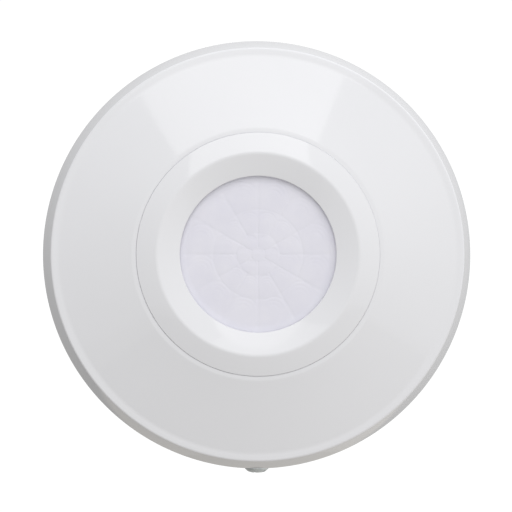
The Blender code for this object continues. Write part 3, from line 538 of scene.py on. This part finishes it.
def build_tamper_post():
    """Post under the dish that presses the tamper plunger."""
    outline = [
        (0.0, POST_TOP), (POST_RADIUS, POST_TOP), (POST_RADIUS, POST_BOTTOM + POST_CHAMFER),
        (POST_RADIUS - POST_CHAMFER, POST_BOTTOM), (0.0, POST_BOTTOM)]
    post = turned("tamper_post", MATTE_WHITE, outline, 48, POST_SPOT, closed=False)
    place(post, "cover", "white_gloss")


def build_bezel():
    """Ring inside the seam: cone, rounded crest and funnel."""
    crest_height = dish_height(CREST_RADIUS)
    aperture_height = crest_height - (CREST_RADIUS - APERTURE_RADIUS) * FUNNEL_SLOPE
    shoulder = LEDGE_TOP + BEZEL_PLAY
    pocket_top = LENS_EDGE_FRONT + BEZEL_PLAY
    outline = rounded_outline([
        (CREST_RADIUS, crest_height, CREST_ROUNDING),
        (BEZEL_RADIUS, dish_height(BEZEL_RADIUS), 0.12),
        (BEZEL_RADIUS, shoulder, 0.1),
        (LEDGE_RADIUS - BEZEL_PLAY, shoulder, 0.1),
        (LEDGE_RADIUS - BEZEL_PLAY, LEDGE_BOTTOM, 0.15),
        (LENS_POCKET_RADIUS, LEDGE_BOTTOM, 0.15),
        (LENS_POCKET_RADIUS, pocket_top, 0.1),
        (APERTURE_RADIUS, pocket_top, 0.1),
        (APERTURE_RADIUS, aperture_height, 0.35),
    ], steps=10)
    bezel = turned("bezel_ring", GLOSS_WHITE, outline, centre=BEZEL_REST)
    place(bezel, "cover", "white_gloss", "lens_bezel")


# Moulding details sunk in the back: places as seen from the front.
BEHIND_BACK = -1.0
LABEL_FIELD = (0.0, -8.0, 46.0, 26.0)
LABEL_DEPTH = 0.3
EJECTOR_RADIUS = 2.6
EJECTOR_DEPTH = 0.12
EJECTOR_RING = 61.5
EJECTOR_SPOTS = ((-30.0, 18.0), (30.0, 18.0), (-16.0, -46.0), (16.0, -46.0))
BREAK_OUT_SPOTS = ((-36.0, -36.0), (36.0, -36.0), (0.0, 22.0))
BREAK_OUT_GROOVE = ((7.6, BEHIND_BACK), (8.3, BEHIND_BACK), (8.1, 0.9), (7.8, 0.9))


def build_base():
    """The base as it is, with moulding details sunk in its back: label field, break-outs, ejector marks."""
    source = NODES["rear_base"]
    shape = bmesh.new()
    corners = [shape.verts.new(source.matrix_world @ vertex.co) for vertex in source.data.vertices]
    for polygon in source.data.polygons:
        shape.faces.new([corners[index] for index in polygon.vertices])
    bmesh.ops.remove_doubles(shape, verts=shape.verts, dist=WELD_DISTANCE)
    bmesh.ops.dissolve_limit(shape, angle_limit=math.radians(0.5), verts=shape.verts, edges=shape.edges)
    base = finish_mesh("base_shell", shape, MATTE_WHITE)
    marks = Pile()
    field = rounded_outline([(x, y, 2.0) for x, y in rectangle(*LABEL_FIELD)])
    marks.prism(field, BEHIND_BACK, LABEL_DEPTH)
    spots = list(EJECTOR_SPOTS)
    for number in range(6):
        angle = math.radians(30.0 + 60.0 * number)
        spots.append((EJECTOR_RING * math.cos(angle), EJECTOR_RING * math.sin(angle)))
    for x, y in spots:
        marks.prism(disc(x, y, EJECTOR_RADIUS, 36), BEHIND_BACK, EJECTOR_DEPTH)
    cutters = [marks.done("moulding_marks", None)]
    for spot in BREAK_OUT_SPOTS:
        cutters.append(turned("break_out", None, BREAK_OUT_GROOVE, 72, spot))
    carve(base, cutters)
    place(base, "base", "white_matte", "rear_base")


# ---------------------------------------------------------------- lens
# Rings of small lenses: (outer radius, count, turn of the borders in degrees, radius of their centres,
# curvature per mm, radius of the engraved arc).
LENS_RINGS = (
    (2.3, 1, 0.0, 0.0, 0.0100, 1.75),
    (6.9, 6, 30.0, 4.7, 0.0090, 1.95),
    (14.8, 12, 0.0, 10.7, 0.0060, 3.25),
    (26.0, 12, 0.0, 19.4, 0.0038, 4.8),
)
BORDER_DEPTH = 0.034
BORDER_WIDTH = 0.30
RING_DEPTH = 0.015
ARC_DEPTH = 0.058
ARC_WIDTH = 0.34
# Each arc is this share of the first one's radius inside the last, and this share as deep.
ARC_SPACING = 0.26
ARC_FADE = 0.75
ARC_COUNT = 3
# Steepness of the relief's fade to nothing at the lens's edge, against the share of the radius.
RELIEF_FADE = 12.0


def notch(distance, width):
    """Profile of an engraved line, 1 on the line and 0 away from it."""
    return math.exp(-(distance / width) ** 2)


def cell_height(x, y):
    """Relief of the lens front: crowned cells between engraved borders, with arcs across their tops."""
    r = math.hypot(x, y)
    ring = next(row for row in LENS_RINGS if r <= row[0])
    _, count, turn, reach, curve, arc = ring
    sector = 2.0 * math.pi / count
    border = math.radians(turn)
    number = math.floor((math.atan2(y, x) - border) / sector)
    angle = border + (number + 0.5) * sector
    centre = (reach * math.cos(angle), reach * math.sin(angle))
    away = math.hypot(x - centre[0], y - centre[1])
    height = -curve * away * away
    if count > 1:
        turned_by = math.atan2(y, x) - border
        swing = turned_by - round(turned_by / sector) * sector
        height -= BORDER_DEPTH * notch(r * math.sin(swing), BORDER_WIDTH)
    for row in LENS_RINGS[:-1]:
        height -= RING_DEPTH * notch(r - row[0], BORDER_WIDTH)
    upward_share = max(0.0, (y - centre[1]) / max(away, 0.001))
    for line in range(ARC_COUNT):
        depth = ARC_DEPTH * ARC_FADE ** line
        height -= depth * upward_share * notch(away - arc * (1.0 - line * ARC_SPACING), ARC_WIDTH)
    return height


def lens_material():
    """Milky polyethylene: light spreads inside it."""
    shader = Shader("milky_lens")
    shader.set(IOR=1.50, Roughness=0.32)
    shader.set(Subsurface_Weight=0.15, Subsurface_Scale=0.002, Subsurface_Radius=(1.0, 1.0, 1.0))
    drift = shader.spread(shader.noise(160.0, 4.0), 0.0, 1.0)
    colour = shader.ramp(drift, (0.775, 0.77, 0.856), (0.805, 0.80, 0.876))
    shader.link(colour, shader.surface.inputs["Base Color"])
    shader.bump(shader.noise(1500.0, 2.0), 0.000004)
    return shader.material


def build_lens():
    """Shallow domed disc whose front is a pattern of small lenses."""
    edge = LENS_RADIUS - 2.0 * HAIR
    shown = APERTURE_RADIUS + RELIEF_MARGIN
    back = LENS_EDGE_FRONT - LENS_THICKNESS
    rings = 110
    points = [(shown * step / rings, LENS_EDGE_FRONT) for step in range(rings + 1)]
    points += [(edge, LENS_EDGE_FRONT - LENS_EDGE_CHAMFER), (edge, back)]
    back_steps = 12
    for step in range(back_steps + 1):
        share = 1.0 - step / back_steps
        points.append((APERTURE_RADIUS * share, back + LENS_HOLLOW * (1.0 - share ** 2)))
    lens = turned("lens_disc", lens_material(), points, TURN_SEGMENTS, closed=False)
    for vertex in lens.data.vertices:
        x = vertex.co.x / MM
        y = vertex.co.z / MM
        share = math.hypot(x, y) / APERTURE_RADIUS
        is_front = vertex.co.y < -(LENS_EDGE_FRONT - LENS_EDGE_CHAMFER / 2.0) * MM
        if is_front and share < 1.0:
            dome = LENS_DOME * (1.0 - share ** 2)
            relief = cell_height(x, y) * min(1.0, (1.0 - share) * RELIEF_FADE)
            vertex.co.y -= (dome + relief) * MM
    lens.data.set_sharp_from_angle(angle=LENS_SMOOTH_ANGLE)
    place(lens, "cover", "lens_plastic", "fresnel_lens")


# ---------------------------------------------------------------- fasteners
def build_thread(name, material, centre, low, high):
    """A helical ridge about a vertical axis, from a low to a high level."""
    shape = bmesh.new()
    per_turn = 24
    steps = int((high - low) / THREAD_PITCH * per_turn)
    # Each corner is a radius and a share of the pitch above the ridge's middle.
    section = ((THREAD_ROOT, -0.42), (THREAD_CREST, -0.07), (THREAD_CREST, 0.07), (THREAD_ROOT, 0.42))
    sections = []
    for step in range(steps + 1):
        angle = 2.0 * math.pi * step / per_turn
        level = low + THREAD_PITCH * step / per_turn
        ring = []
        for r, rise in section:
            x, depth = centre[0] + r * math.cos(angle), centre[1] + r * math.sin(angle)
            ring.append(shape.verts.new(upward(x, depth, level + rise * THREAD_PITCH)))
        sections.append(ring)
    for first, second in zip(sections, sections[1:]):
        for side in range(4):
            after = (side + 1) % 4
            shape.faces.new((first[side], first[after], second[after], second[side]))
    shape.faces.new(sections[0])
    shape.faces.new(list(reversed(sections[-1])))
    return finish_mesh(name, shape, material)


def build_locking_screw():
    """Pan head with a slot and cross recess, and a threaded shank."""
    centre = (0.0, LOCK_DEPTH)
    radius = (SCREW_HIGH.x - SCREW_LOW.x) / 2.0 / MM
    crown = SCREW_LOW.z / MM + HAIR
    tip = SCREW_HIGH.z / MM - HAIR
    outline = rounded_outline([
        (0.0, crown, 0.0), (1.5, crown + 0.05, 0.8), (2.9, crown + 0.42, 1.5), (radius, -HEAD_EDGE, 0.35),
        (radius, -LOCK_UNDER_HEAD, 0.1), (SHANK_CORE, -LOCK_UNDER_HEAD, 0.0), (SHANK_CORE, tip - 0.6, 0.2),
        (1.2, tip, 0.0), (0.0, tip, 0.0),
    ], closed=False)
    screw = turned("lock_screw_body", ZINC, outline, 64, centre, closed=False, along=upward)
    cutters = []
    for number, length in enumerate(RECESS_LENGTHS):
        angle = RECESS_TURN + number * math.pi / 2.0
        reach = Vector((math.cos(angle), math.sin(angle))) * (length / 2.0)
        recess = Pile(upward)
        recess.prism(
            stroke(Vector(centre) - reach, Vector(centre) + reach, RECESS_WIDTH),
            crown - 1.0, crown + RECESS_DEPTH)
        cutters.append(recess.done("lock_recess", None))
    carve(screw, cutters)
    place(screw, "locking_screw", "zinc", "locking_screw")
    thread = build_thread(
        "lock_screw_thread", ZINC, centre, THREAD_AFTER_HEAD - LOCK_UNDER_HEAD, tip - THREAD_BEFORE_TIP)
    place(thread, "locking_screw", "zinc")


# ---------------------------------------------------------------- circuit board
def span(node):
    """Limits of a node in millimetres: (x, y, depth) low and high corners."""
    low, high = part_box(node)
    return (low.x / MM, low.z / MM, -high.y / MM), (high.x / MM, high.z / MM, -low.y / MM)


def middle(node):
    """Centre of a node across the face, in millimetres."""
    low, high = span(node)
    return (low[0] + high[0]) / 2.0, (low[1] + high[1]) / 2.0


def beside(spot, right, up):
    """The point a little right and up of a spot."""
    return spot[0] + right, spot[1] + up


def build_chip(node, body_width, legs):
    """Moulded chip with a first-pin dimple and a row of bent legs on each side; gives its pads' places."""
    low, high = span(node)
    x, y = middle(node)
    half_span = (high[0] - low[0]) / 2.0 - 2.0 * HAIR
    length = high[1] - low[1]
    top = high[2] - 2.0 * HAIR
    body = Pile()
    body.prism(rectangle(x, y, body_width, length), PARTS_FACE + CHIP_STAND_OFF, top)
    chip = body.done(node + "_body", BLACK_PLASTIC)
    dimple = Pile()
    corner = (x - body_width / 2.0, y + length / 2.0)
    spot = beside(corner, DIMPLE_INSET, -DIMPLE_INSET)
    dimple.prism(disc(*spot, DIMPLE_RADIUS), top - DIMPLE_DEPTH, top + 1.0)
    carve(chip, [dimple.done("dimple", None)])
    round_edges(chip, CHIP_ROUNDING)
    place(chip, "base", "black_plastic", node)
    root = body_width / 2.0 - 0.1
    knee = body_width / 2.0 + LEG_KNEE
    foot = PAD_TOP
    shoulder = top - LEG_BELOW_TOP
    outline = [
        (root, shoulder), (knee, shoulder),
        (knee + LEG_SPREAD, foot + LEG_THICKNESS), (half_span, foot + LEG_THICKNESS),
        (half_span, foot), (knee + LEG_SPREAD - LEG_THICKNESS, foot),
        (knee - LEG_THICKNESS, shoulder - LEG_THICKNESS), (root, shoulder - LEG_THICKNESS)]
    frame_legs = Pile()
    spots = []
    for side in (-1, 1):
        def sideways(u, v, w, side=side):
            return front_point(x + side * u, w, v)
        for number in range(legs):
            level = y + (number - (legs - 1) / 2.0) * CHIP_PITCH
            frame_legs.prism(outline, level - LEG_THICKNESS, level + LEG_THICKNESS, sideways)
            spots.append((x + side * (half_span - 0.25), level))
    place(frame_legs.done(node + "_legs", TIN), "base", "nickel")
    return spots


def build_capacitor(node):
    """Electrolytic can: sleeve with a rolled groove, a pale stripe and a vented top."""
    low, high = span(node)
    x, y = middle(node)
    radius = (high[0] - low[0]) / 2.0 - 2.0 * HAIR
    base, top = PARTS_FACE, high[2] - 2.0 * HAIR
    groove = base + GROOVE_RISE
    sleeve_end = radius - SLEEVE_LIP
    lid_top = top - LID_TOP_SINK
    outline = rounded_outline([
        (0.0, base, 0.0), (radius, base, 0.35), (radius, groove - GROOVE_REACH, 0.2),
        (radius - GROOVE_DEPTH, groove, 0.25), (radius, groove + GROOVE_REACH, 0.2), (radius, top, 0.35),
        (sleeve_end + 0.05, top, 0.05), (sleeve_end, top - LID_SEAT_SINK, 0.0),
        (0.0, top - LID_SEAT_SINK, 0.0),
    ], closed=False, steps=4)
    can = turned(node + "_can", SLEEVE, outline, 72, (x, y), closed=False)
    place(can, "base", "sleeve", node)
    lid_outline = [
        (0.0, top - 0.2), (sleeve_end - 0.05, top - 0.2), (sleeve_end - 0.1, lid_top), (0.0, lid_top)]
    lid = turned(node + "_lid", ALUMINIUM, lid_outline, 48, (x, y), closed=False)
    cutters = []
    for angle in (math.radians(45.0), math.radians(135.0)):
        reach = Vector((math.cos(angle), math.sin(angle))) * (radius * 0.6)
        vent = Pile()
        line = stroke(Vector((x, y)) - reach, Vector((x, y)) + reach, VENT_WIDTH)
        vent.prism(line, lid_top - VENT_DEPTH, top + 1.0)
        cutters.append(vent.done("vent", None))
    carve(lid, cutters)
    place(lid, "base", "nickel")
    stripe = Pile()
    inner, outer = radius - 0.05, radius + 0.015
    arc = [math.radians(160.0 + 5.0 * step) for step in range(9)]
    band = [(x + outer * math.cos(angle), y + outer * math.sin(angle)) for angle in arc]
    band += [(x + inner * math.cos(angle), y + inner * math.sin(angle)) for angle in reversed(arc)]
    stripe.prism(band, groove + 0.7, top - 0.5)
    place(stripe.done(node + "_stripe", SILK_WHITE), "base", "sleeve")


def build_resistor_ends(node):
    """Tinned end caps of a chip resistor."""
    low, high = span(node)
    y = middle(node)[1]
    ends = Pile()
    height = high[1] - low[1] + 2.0 * HAIR
    inset = CAP_LENGTH / 2.0 - HAIR
    for x in (low[0] + inset, high[0] - inset):
        ends.prism(rectangle(x, y, CAP_LENGTH, height), BOARD_FACE, high[2] + HAIR)
    place(ends.done(node + "_ends", TIN, 0.06), "base", "nickel")


def build_board_print(pads):
    """Covered copper tracks, tinned pads and printed outlines on the face of the board."""
    outlines = []
    for route, width in board_routes():
        outlines += [disc(x, y, width / 2.0 + TRACK_END_MARGIN, 16) for x, y in (route[0], route[-1])]
        outlines += [disc(x, y, width / 2.0, 12) for x, y in route[1:-1]]
        outlines += [stroke(first, second, width) for first, second in zip(route, route[1:])]
    copper = Pile()
    for index, outline in enumerate(outlines):
        copper.prism(outline, BOARD_FACE - 2.0 * HAIR, TRACE_TOP - TRACE_STEP * index)
    place(copper.done("board_tracks", COVERED_COPPER), "base", "board_green")
    tin = Pile()
    for x, y in pads:
        tin.prism(disc(x, y, PAD_RADIUS, 16), BOARD_FACE, PAD_TOP)
    for number in (1, 2, 3):
        outer, inner = (disc(*middle("board_screw_%d" % number), radius, 36) for radius in SCREW_PAD_RADII)
        for step in range(36):
            after = (step + 1) % 36
            tin.prism([outer[step], outer[after], inner[after], inner[step]], BOARD_FACE, PAD_TOP)
    place(tin.done("board_pads", TIN), "base", "nickel")
    silk = Pile()
    for node, margin in OUTLINED:
        low, high = span(node)
        x, y = middle(node)
        corners = rectangle(x, y, high[0] - low[0] + 2.0 * margin, high[1] - low[1] + 2.0 * margin)
        for first, second in zip(corners, corners[1:] + corners[:1]):
            silk.prism(stroke(first, second, SILK_WIDTH), BOARD_FACE, SILK_TOP)
    place(silk.done("board_print", SILK_WHITE), "base", "board_green")


# Parts with a printed outline, and its margin round each.
OUTLINED = (
    ("terminal_block", 0.7), ("alarm_relay", 0.7), ("dip_switch", 0.6), ("trimmer", 0.6),
    ("jumper_base", 0.6), ("tamper_switch", 0.7), ("supply_capacitor", 0.5), ("filter_capacitor", 0.5),
    ("microcontroller", 0.6), ("amplifier_chip", 0.6), ("voltage_regulator", 0.6), ("status_led", 0.5),
    ("chip_resistor_1", 0.5), ("chip_resistor_2", 0.5), ("chip_resistor_3", 0.5), ("chip_resistor_4", 0.5),
)


def dog_leg(start, end, width=TRACK_WIDTH):
    """A track from one point to another: straight along the longer way, then at 45 degrees."""
    run_x, run_y = end[0] - start[0], end[1] - start[1]
    slope = min(abs(run_x), abs(run_y))
    if abs(run_x) > abs(run_y):
        bend = (end[0] - math.copysign(slope, run_x), start[1])
    else:
        bend = (start[0], end[1] - math.copysign(slope, run_y))
    return [start, bend, end], width


def board_routes():
    """Tracks between the parts, each from one part's edge to another's."""
    relay_low, relay_high = span("alarm_relay")
    relay_corner = (relay_low[0], relay_high[1])
    chip_low, chip_high = span("microcontroller")
    chip_corner = (chip_high[0], chip_low[1])
    dip = middle("dip_switch")
    tamper = middle("tamper_switch")
    supply = middle("supply_capacitor")
    regulator = middle("voltage_regulator")
    jumper = middle("jumper_base")
    trimmer = middle("trimmer")
    led = middle("status_led")
    ways = [(middle("terminal_cage_%d" % number)[0], TERMINAL_EDGE) for number in range(1, 7)]
    routes = [
        dog_leg(ways[0], beside(relay_corner, 4.0, 1.5), 1.0),
        dog_leg(ways[1], beside(relay_corner, 9.0, 1.5), 1.0),
        dog_leg(ways[4], beside(tamper, -3.5, 4.5), 0.6),
        dog_leg(ways[5], beside(tamper, -1.5, 4.5), 0.6),
        dog_leg(ways[3], beside(supply, -1.8, 4.8), 1.2),
        dog_leg((regulator[0] - 1.0, 13.8), beside(supply, -4.8, -1.5), 0.8),
    ]
    for number in range(3):
        leg = (chip_low[0] - 0.3, chip_low[1] + 2.0 + CHIP_PITCH * number)
        routes.append(dog_leg(beside(dip, 4.6, 1.3 * (number - 1)), leg))
    for number in range(4):
        leg = (chip_high[0] + 0.3, chip_high[1] - 1.6 - CHIP_PITCH * number)
        routes.append(dog_leg(leg, (3.4, leg[1] + 2.6)))
    routes += [
        dog_leg(beside(jumper, -1.3, 2.0), beside(chip_corner, 0.8, 0.8)),
        dog_leg(beside(jumper, 1.3, 2.0), beside(trimmer, -2.5, -4.2)),
        dog_leg(beside(trimmer, 0.0, 4.2), (10.8, -14.0)),
        dog_leg((-8.2, -1.5), (1.0, -11.6)),
        dog_leg((8.2, 1.5), (7.0, -11.6)),
        dog_leg(beside(led, 2.2, -1.0), beside(trimmer, -4.5, 3.0)),
        dog_leg((-7.0, -36.0), (7.5, -42.0)),
        dog_leg((-16.0, -33.0), beside(dip, 0.0, -4.4)),
    ]
    return routes


def build_board_details():
    """Everything fine on the circuit board."""
    pads = build_chip("microcontroller", 7.5, 8) + build_chip("amplifier_chip", 4.0, 7)
    for node in ("supply_capacitor", "filter_capacitor"):
        build_capacitor(node)
    for number in (1, 2, 3, 4):
        node = "chip_resistor_%d" % number
        build_resistor_ends(node)
        low, high = span(node)
        level = middle(node)[1]
        pads += [(low[0], level), (high[0], level)]
    relay_low, relay_high = span("alarm_relay")
    for x in (relay_low[0] - 1.3, relay_high[0] + 1.3):
        for share in (0.25, 0.75):
            pads.append((x, relay_low[1] + (relay_high[1] - relay_low[1]) * share))
    dip = middle("dip_switch")
    for number in (-1, 0, 1):
        for side in (-1, 1):
            pads.append(beside(dip, SWITCH_PITCH * number, side * 4.4))
    trimmer = middle("trimmer")
    pads += [beside(trimmer, -2.5, -4.2), beside(trimmer, 2.5, -4.2), beside(trimmer, 0.0, 4.2)]
    build_board_print(pads)


# ---------------------------------------------------------------- carried-over nodes
# Finish of each CAD node that still shows, by the start of its name, and its edge rounding.
NODE_FINISHES = (
    ("rear_base", MATTE_WHITE, 0.0),
    ("lens_retainer", MATTE_WHITE, 0.0),
    ("cable_grommet", RUBBER, 0.0),
    ("locking_insert", BRASS, 0.0),
    ("retaining_clip", ZINC, 0.0),
    ("circuit_board", SOLDER_MASK, 0.0),
    ("board_screw", ZINC, 0.0),
    ("retainer_screw", ZINC, 0.0),
    ("terminal_block", TERMINAL_GREEN, 0.0),
    ("terminal_cage", NICKEL, 0.0),
    ("terminal_screw", NICKEL, 0.0),
    ("alarm_relay", BLACK_PLASTIC, 0.25),
    ("chip_resistor", CERAMIC, 0.06),
    ("dip_switch", BLUE_PLASTIC, 0.0),
    ("dip_slider", SILK_WHITE, 0.0),
    ("jumper_base", BLACK_PLASTIC, 0.0),
    ("jumper_cap", BLUE_PLASTIC, 0.12),
    ("jumper_pin", BRASS, 0.08),
    ("pyro_sensor", NICKEL, 0.0),
    ("pyro_window", FILTER_GLASS, 0.05),
    ("insect_seal", FOAM, 0.0),
    ("status_led", RED_LENS, 0.0),
    ("tamper_plunger", MATTE_WHITE, 0.0),
    ("tamper_switch", BLACK_PLASTIC, 0.0),
    ("trimmer_rotor", SILK_WHITE, 0.0),
    ("trimmer", BLUE_PLASTIC, 0.0),
    ("voltage_regulator", BLACK_PLASTIC, 0.0),
    ("", MATTE_WHITE, 0.0),
)


def smooth_group():
    """Geometry nodes that shade round parts smooth and keep sharp edges sharp."""
    group = bpy.data.node_groups.new("smooth_by_angle", "GeometryNodeTree")
    for in_out in ("INPUT", "OUTPUT"):
        group.interface.new_socket("Geometry", in_out=in_out, socket_type="NodeSocketGeometry")
    entry = group.nodes.new("NodeGroupInput")
    leave = group.nodes.new("NodeGroupOutput")
    faces = group.nodes.new("GeometryNodeSetShadeSmooth")
    edges = group.nodes.new("GeometryNodeSetShadeSmooth")
    edges.domain = "EDGE"
    edges.inputs["Shade Smooth"].default_value = False
    angle = group.nodes.new("GeometryNodeInputMeshEdgeAngle")
    steep = group.nodes.new("FunctionNodeCompare")
    steep.operation = "GREATER_THAN"
    steep.inputs["B"].default_value = SMOOTH_ANGLE
    group.links.new(entry.outputs["Geometry"], faces.inputs["Geometry"])
    group.links.new(faces.outputs["Geometry"], edges.inputs["Geometry"])
    group.links.new(angle.outputs["Unsigned Angle"], steep.inputs["A"])
    group.links.new(steep.outputs["Result"], edges.inputs["Selection"])
    group.links.new(edges.outputs["Geometry"], leave.inputs["Geometry"])
    return group


def paint_nodes():
    """Give every CAD node its finish, welded smooth shading and, on small blocks, broken edges."""
    smooth = smooth_group()
    for node, item in NODES.items():
        material, bevel = next((m, b) for start, m, b in NODE_FINISHES if node.startswith(start))
        item.data.materials.clear()
        item.data.materials.append(material)
        weld = item.modifiers.new("weld", "WELD")
        weld.merge_threshold = WELD_DISTANCE
        if bevel > 0.0:
            round_edges(item, bevel)
        item.modifiers.new("smooth", "NODES").node_group = smooth


# ---------------------------------------------------------------- stage
# The studio's own glow, as strengths over directions: a level plus a lean along x, y and z.
STUDIO_LEVEL = 0.698
STUDIO_LEAN = (0.267, -0.193, 0.376)
TABLE_LEVEL = 0.593
TABLE_LEAN = (0.292, 0.0, 0.0)
TABLE_TINT = (1.0, 0.97, 0.92)
# Height of the table's far edge as the upward part of a direction, and half the width of its blur.
TABLE_HORIZON = -0.28
HORIZON_BLUR = 0.012
BACKDROP_STRENGTH = 1.05

# Softboxes that face the back wall: name, centre and size in metres, and radiance.
SOFTBOXES = (
    ("key_softbox", (-0.038, -1.0, 1.04), (0.812, 1.10), 1.42),
    ("key_softbox_lower", (-0.035, -1.0, 0.395), (0.53, 0.19), 0.71),
)

# Camera: metres and degrees.
CAMERA_DISTANCE = 1.1
CAMERA_AZIMUTH = -0.98
CAMERA_ELEVATION = -0.31
CAMERA_SHIFT = (-0.00008, 0.0, -0.00036)
CAMERA_LENS = 228.33
FLOOR_LEVEL = -0.22
FLOOR_RADIUS = 1.1


def softbox(name, centre, size, radiance):
    """A soft light of a given radiance that shines straight back and is not seen directly."""
    data = bpy.data.lights.new(name, "AREA")
    data.shape = "RECTANGLE"
    data.size, data.size_y = size
    data.energy = radiance * math.pi * size[0] * size[1]
    light = bpy.data.objects.new(name, data)
    light.location = centre
    light.rotation_mode = "QUATERNION"
    light.rotation_quaternion = Vector((0.0, -1.0, 0.0)).to_track_quat("Z", "Y")
    light.visible_camera = False
    bpy.context.scene.collection.objects.link(light)


def build_world():
    """Pure white behind the object; as its light, a studio glow over a warmer table."""
    world = bpy.data.worlds.new("studio")
    bpy.context.scene.world = world
    world.use_nodes = True
    tree = world.node_tree
    studio = tree.nodes["Background"]
    seen = tree.nodes.new("ShaderNodeBackground")
    seen.inputs["Color"].default_value = (1.0, 1.0, 1.0, 1.0)
    seen.inputs["Strength"].default_value = BACKDROP_STRENGTH
    rays = tree.nodes.new("ShaderNodeLightPath")
    mixed = tree.nodes.new("ShaderNodeMixShader")
    tree.links.new(rays.outputs["Is Camera Ray"], mixed.inputs["Fac"])
    tree.links.new(studio.outputs["Background"], mixed.inputs[1])
    tree.links.new(seen.outputs["Background"], mixed.inputs[2])
    tree.links.new(mixed.outputs["Shader"], tree.nodes["World Output"].inputs["Surface"])
    direction = tree.nodes.new("ShaderNodeTexCoord").outputs["Generated"]

    def leaning(level, lean):
        """A strength that grows along a direction."""
        made = tree.nodes.new("ShaderNodeVectorMath")
        made.operation = "DOT_PRODUCT"
        made.inputs[1].default_value = lean
        tree.links.new(direction, made.inputs[0])
        added = tree.nodes.new("ShaderNodeMath")
        added.inputs[1].default_value = level
        tree.links.new(made.outputs["Value"], added.inputs[0])
        return added.outputs["Value"]

    split = tree.nodes.new("ShaderNodeSeparateXYZ")
    tree.links.new(direction, split.inputs["Vector"])
    horizon = tree.nodes.new("ShaderNodeMapRange")
    horizon.inputs["From Min"].default_value = TABLE_HORIZON - HORIZON_BLUR
    horizon.inputs["From Max"].default_value = TABLE_HORIZON + HORIZON_BLUR
    tree.links.new(split.outputs["Z"], horizon.inputs["Value"])
    over_table = horizon.outputs["Result"]
    strength = tree.nodes.new("ShaderNodeMix")
    tree.links.new(over_table, strength.inputs["Factor"])
    tree.links.new(leaning(TABLE_LEVEL, TABLE_LEAN), strength.inputs["A"])
    tree.links.new(leaning(STUDIO_LEVEL, STUDIO_LEAN), strength.inputs["B"])
    tree.links.new(strength.outputs["Result"], studio.inputs["Strength"])
    tint = tree.nodes.new("ShaderNodeMix")
    tint.data_type = "RGBA"
    tree.links.new(over_table, tint.inputs["Factor"])
    tint.inputs["A"].default_value = (*TABLE_TINT, 1.0)
    tint.inputs["B"].default_value = (1.0, 1.0, 1.0, 1.0)
    tree.links.new(tint.outputs["Result"], studio.inputs["Color"])


def build_stage():
    """Pale floor, studio light and the camera of the front view."""
    bpy.ops.mesh.primitive_circle_add(
        vertices=96, radius=FLOOR_RADIUS, fill_type="NGON", location=(0.0, 0.0, FLOOR_LEVEL))
    floor = bpy.context.object
    floor.name = "studio_floor"
    paper = Shader("pale_paper")
    paper.set(Roughness=0.9, Base_Color=(0.86, 0.86, 0.86, 1.0))
    floor.data.materials.append(paper.material)
    floor.visible_diffuse = False
    floor.visible_glossy = False
    for name, centre, size, radiance in SOFTBOXES:
        softbox(name, centre, size, radiance)
    build_world()
    data = bpy.data.cameras.new("front_camera")
    data.sensor_width = 36.0
    data.lens = CAMERA_LENS
    camera = bpy.data.objects.new("front_camera", data)
    azimuth, elevation = math.radians(CAMERA_AZIMUTH), math.radians(CAMERA_ELEVATION)
    back = Vector((
        math.sin(azimuth) * math.cos(elevation),
        -math.cos(azimuth) * math.cos(elevation),
        math.sin(elevation)))
    camera.location = back * CAMERA_DISTANCE + Vector(CAMERA_SHIFT)
    camera.rotation_mode = "QUATERNION"
    camera.rotation_quaternion = back.to_track_quat("Z", "Y")
    bpy.context.scene.collection.objects.link(camera)
    bpy.context.scene.camera = camera
    bpy.context.scene.view_settings.view_transform = "Standard"


# ---------------------------------------------------------------- assembly
build_stage()
paint_nodes()
build_cover()
build_tamper_post()
build_bezel()
build_lens()
build_base()
build_locking_screw()
build_board_details()
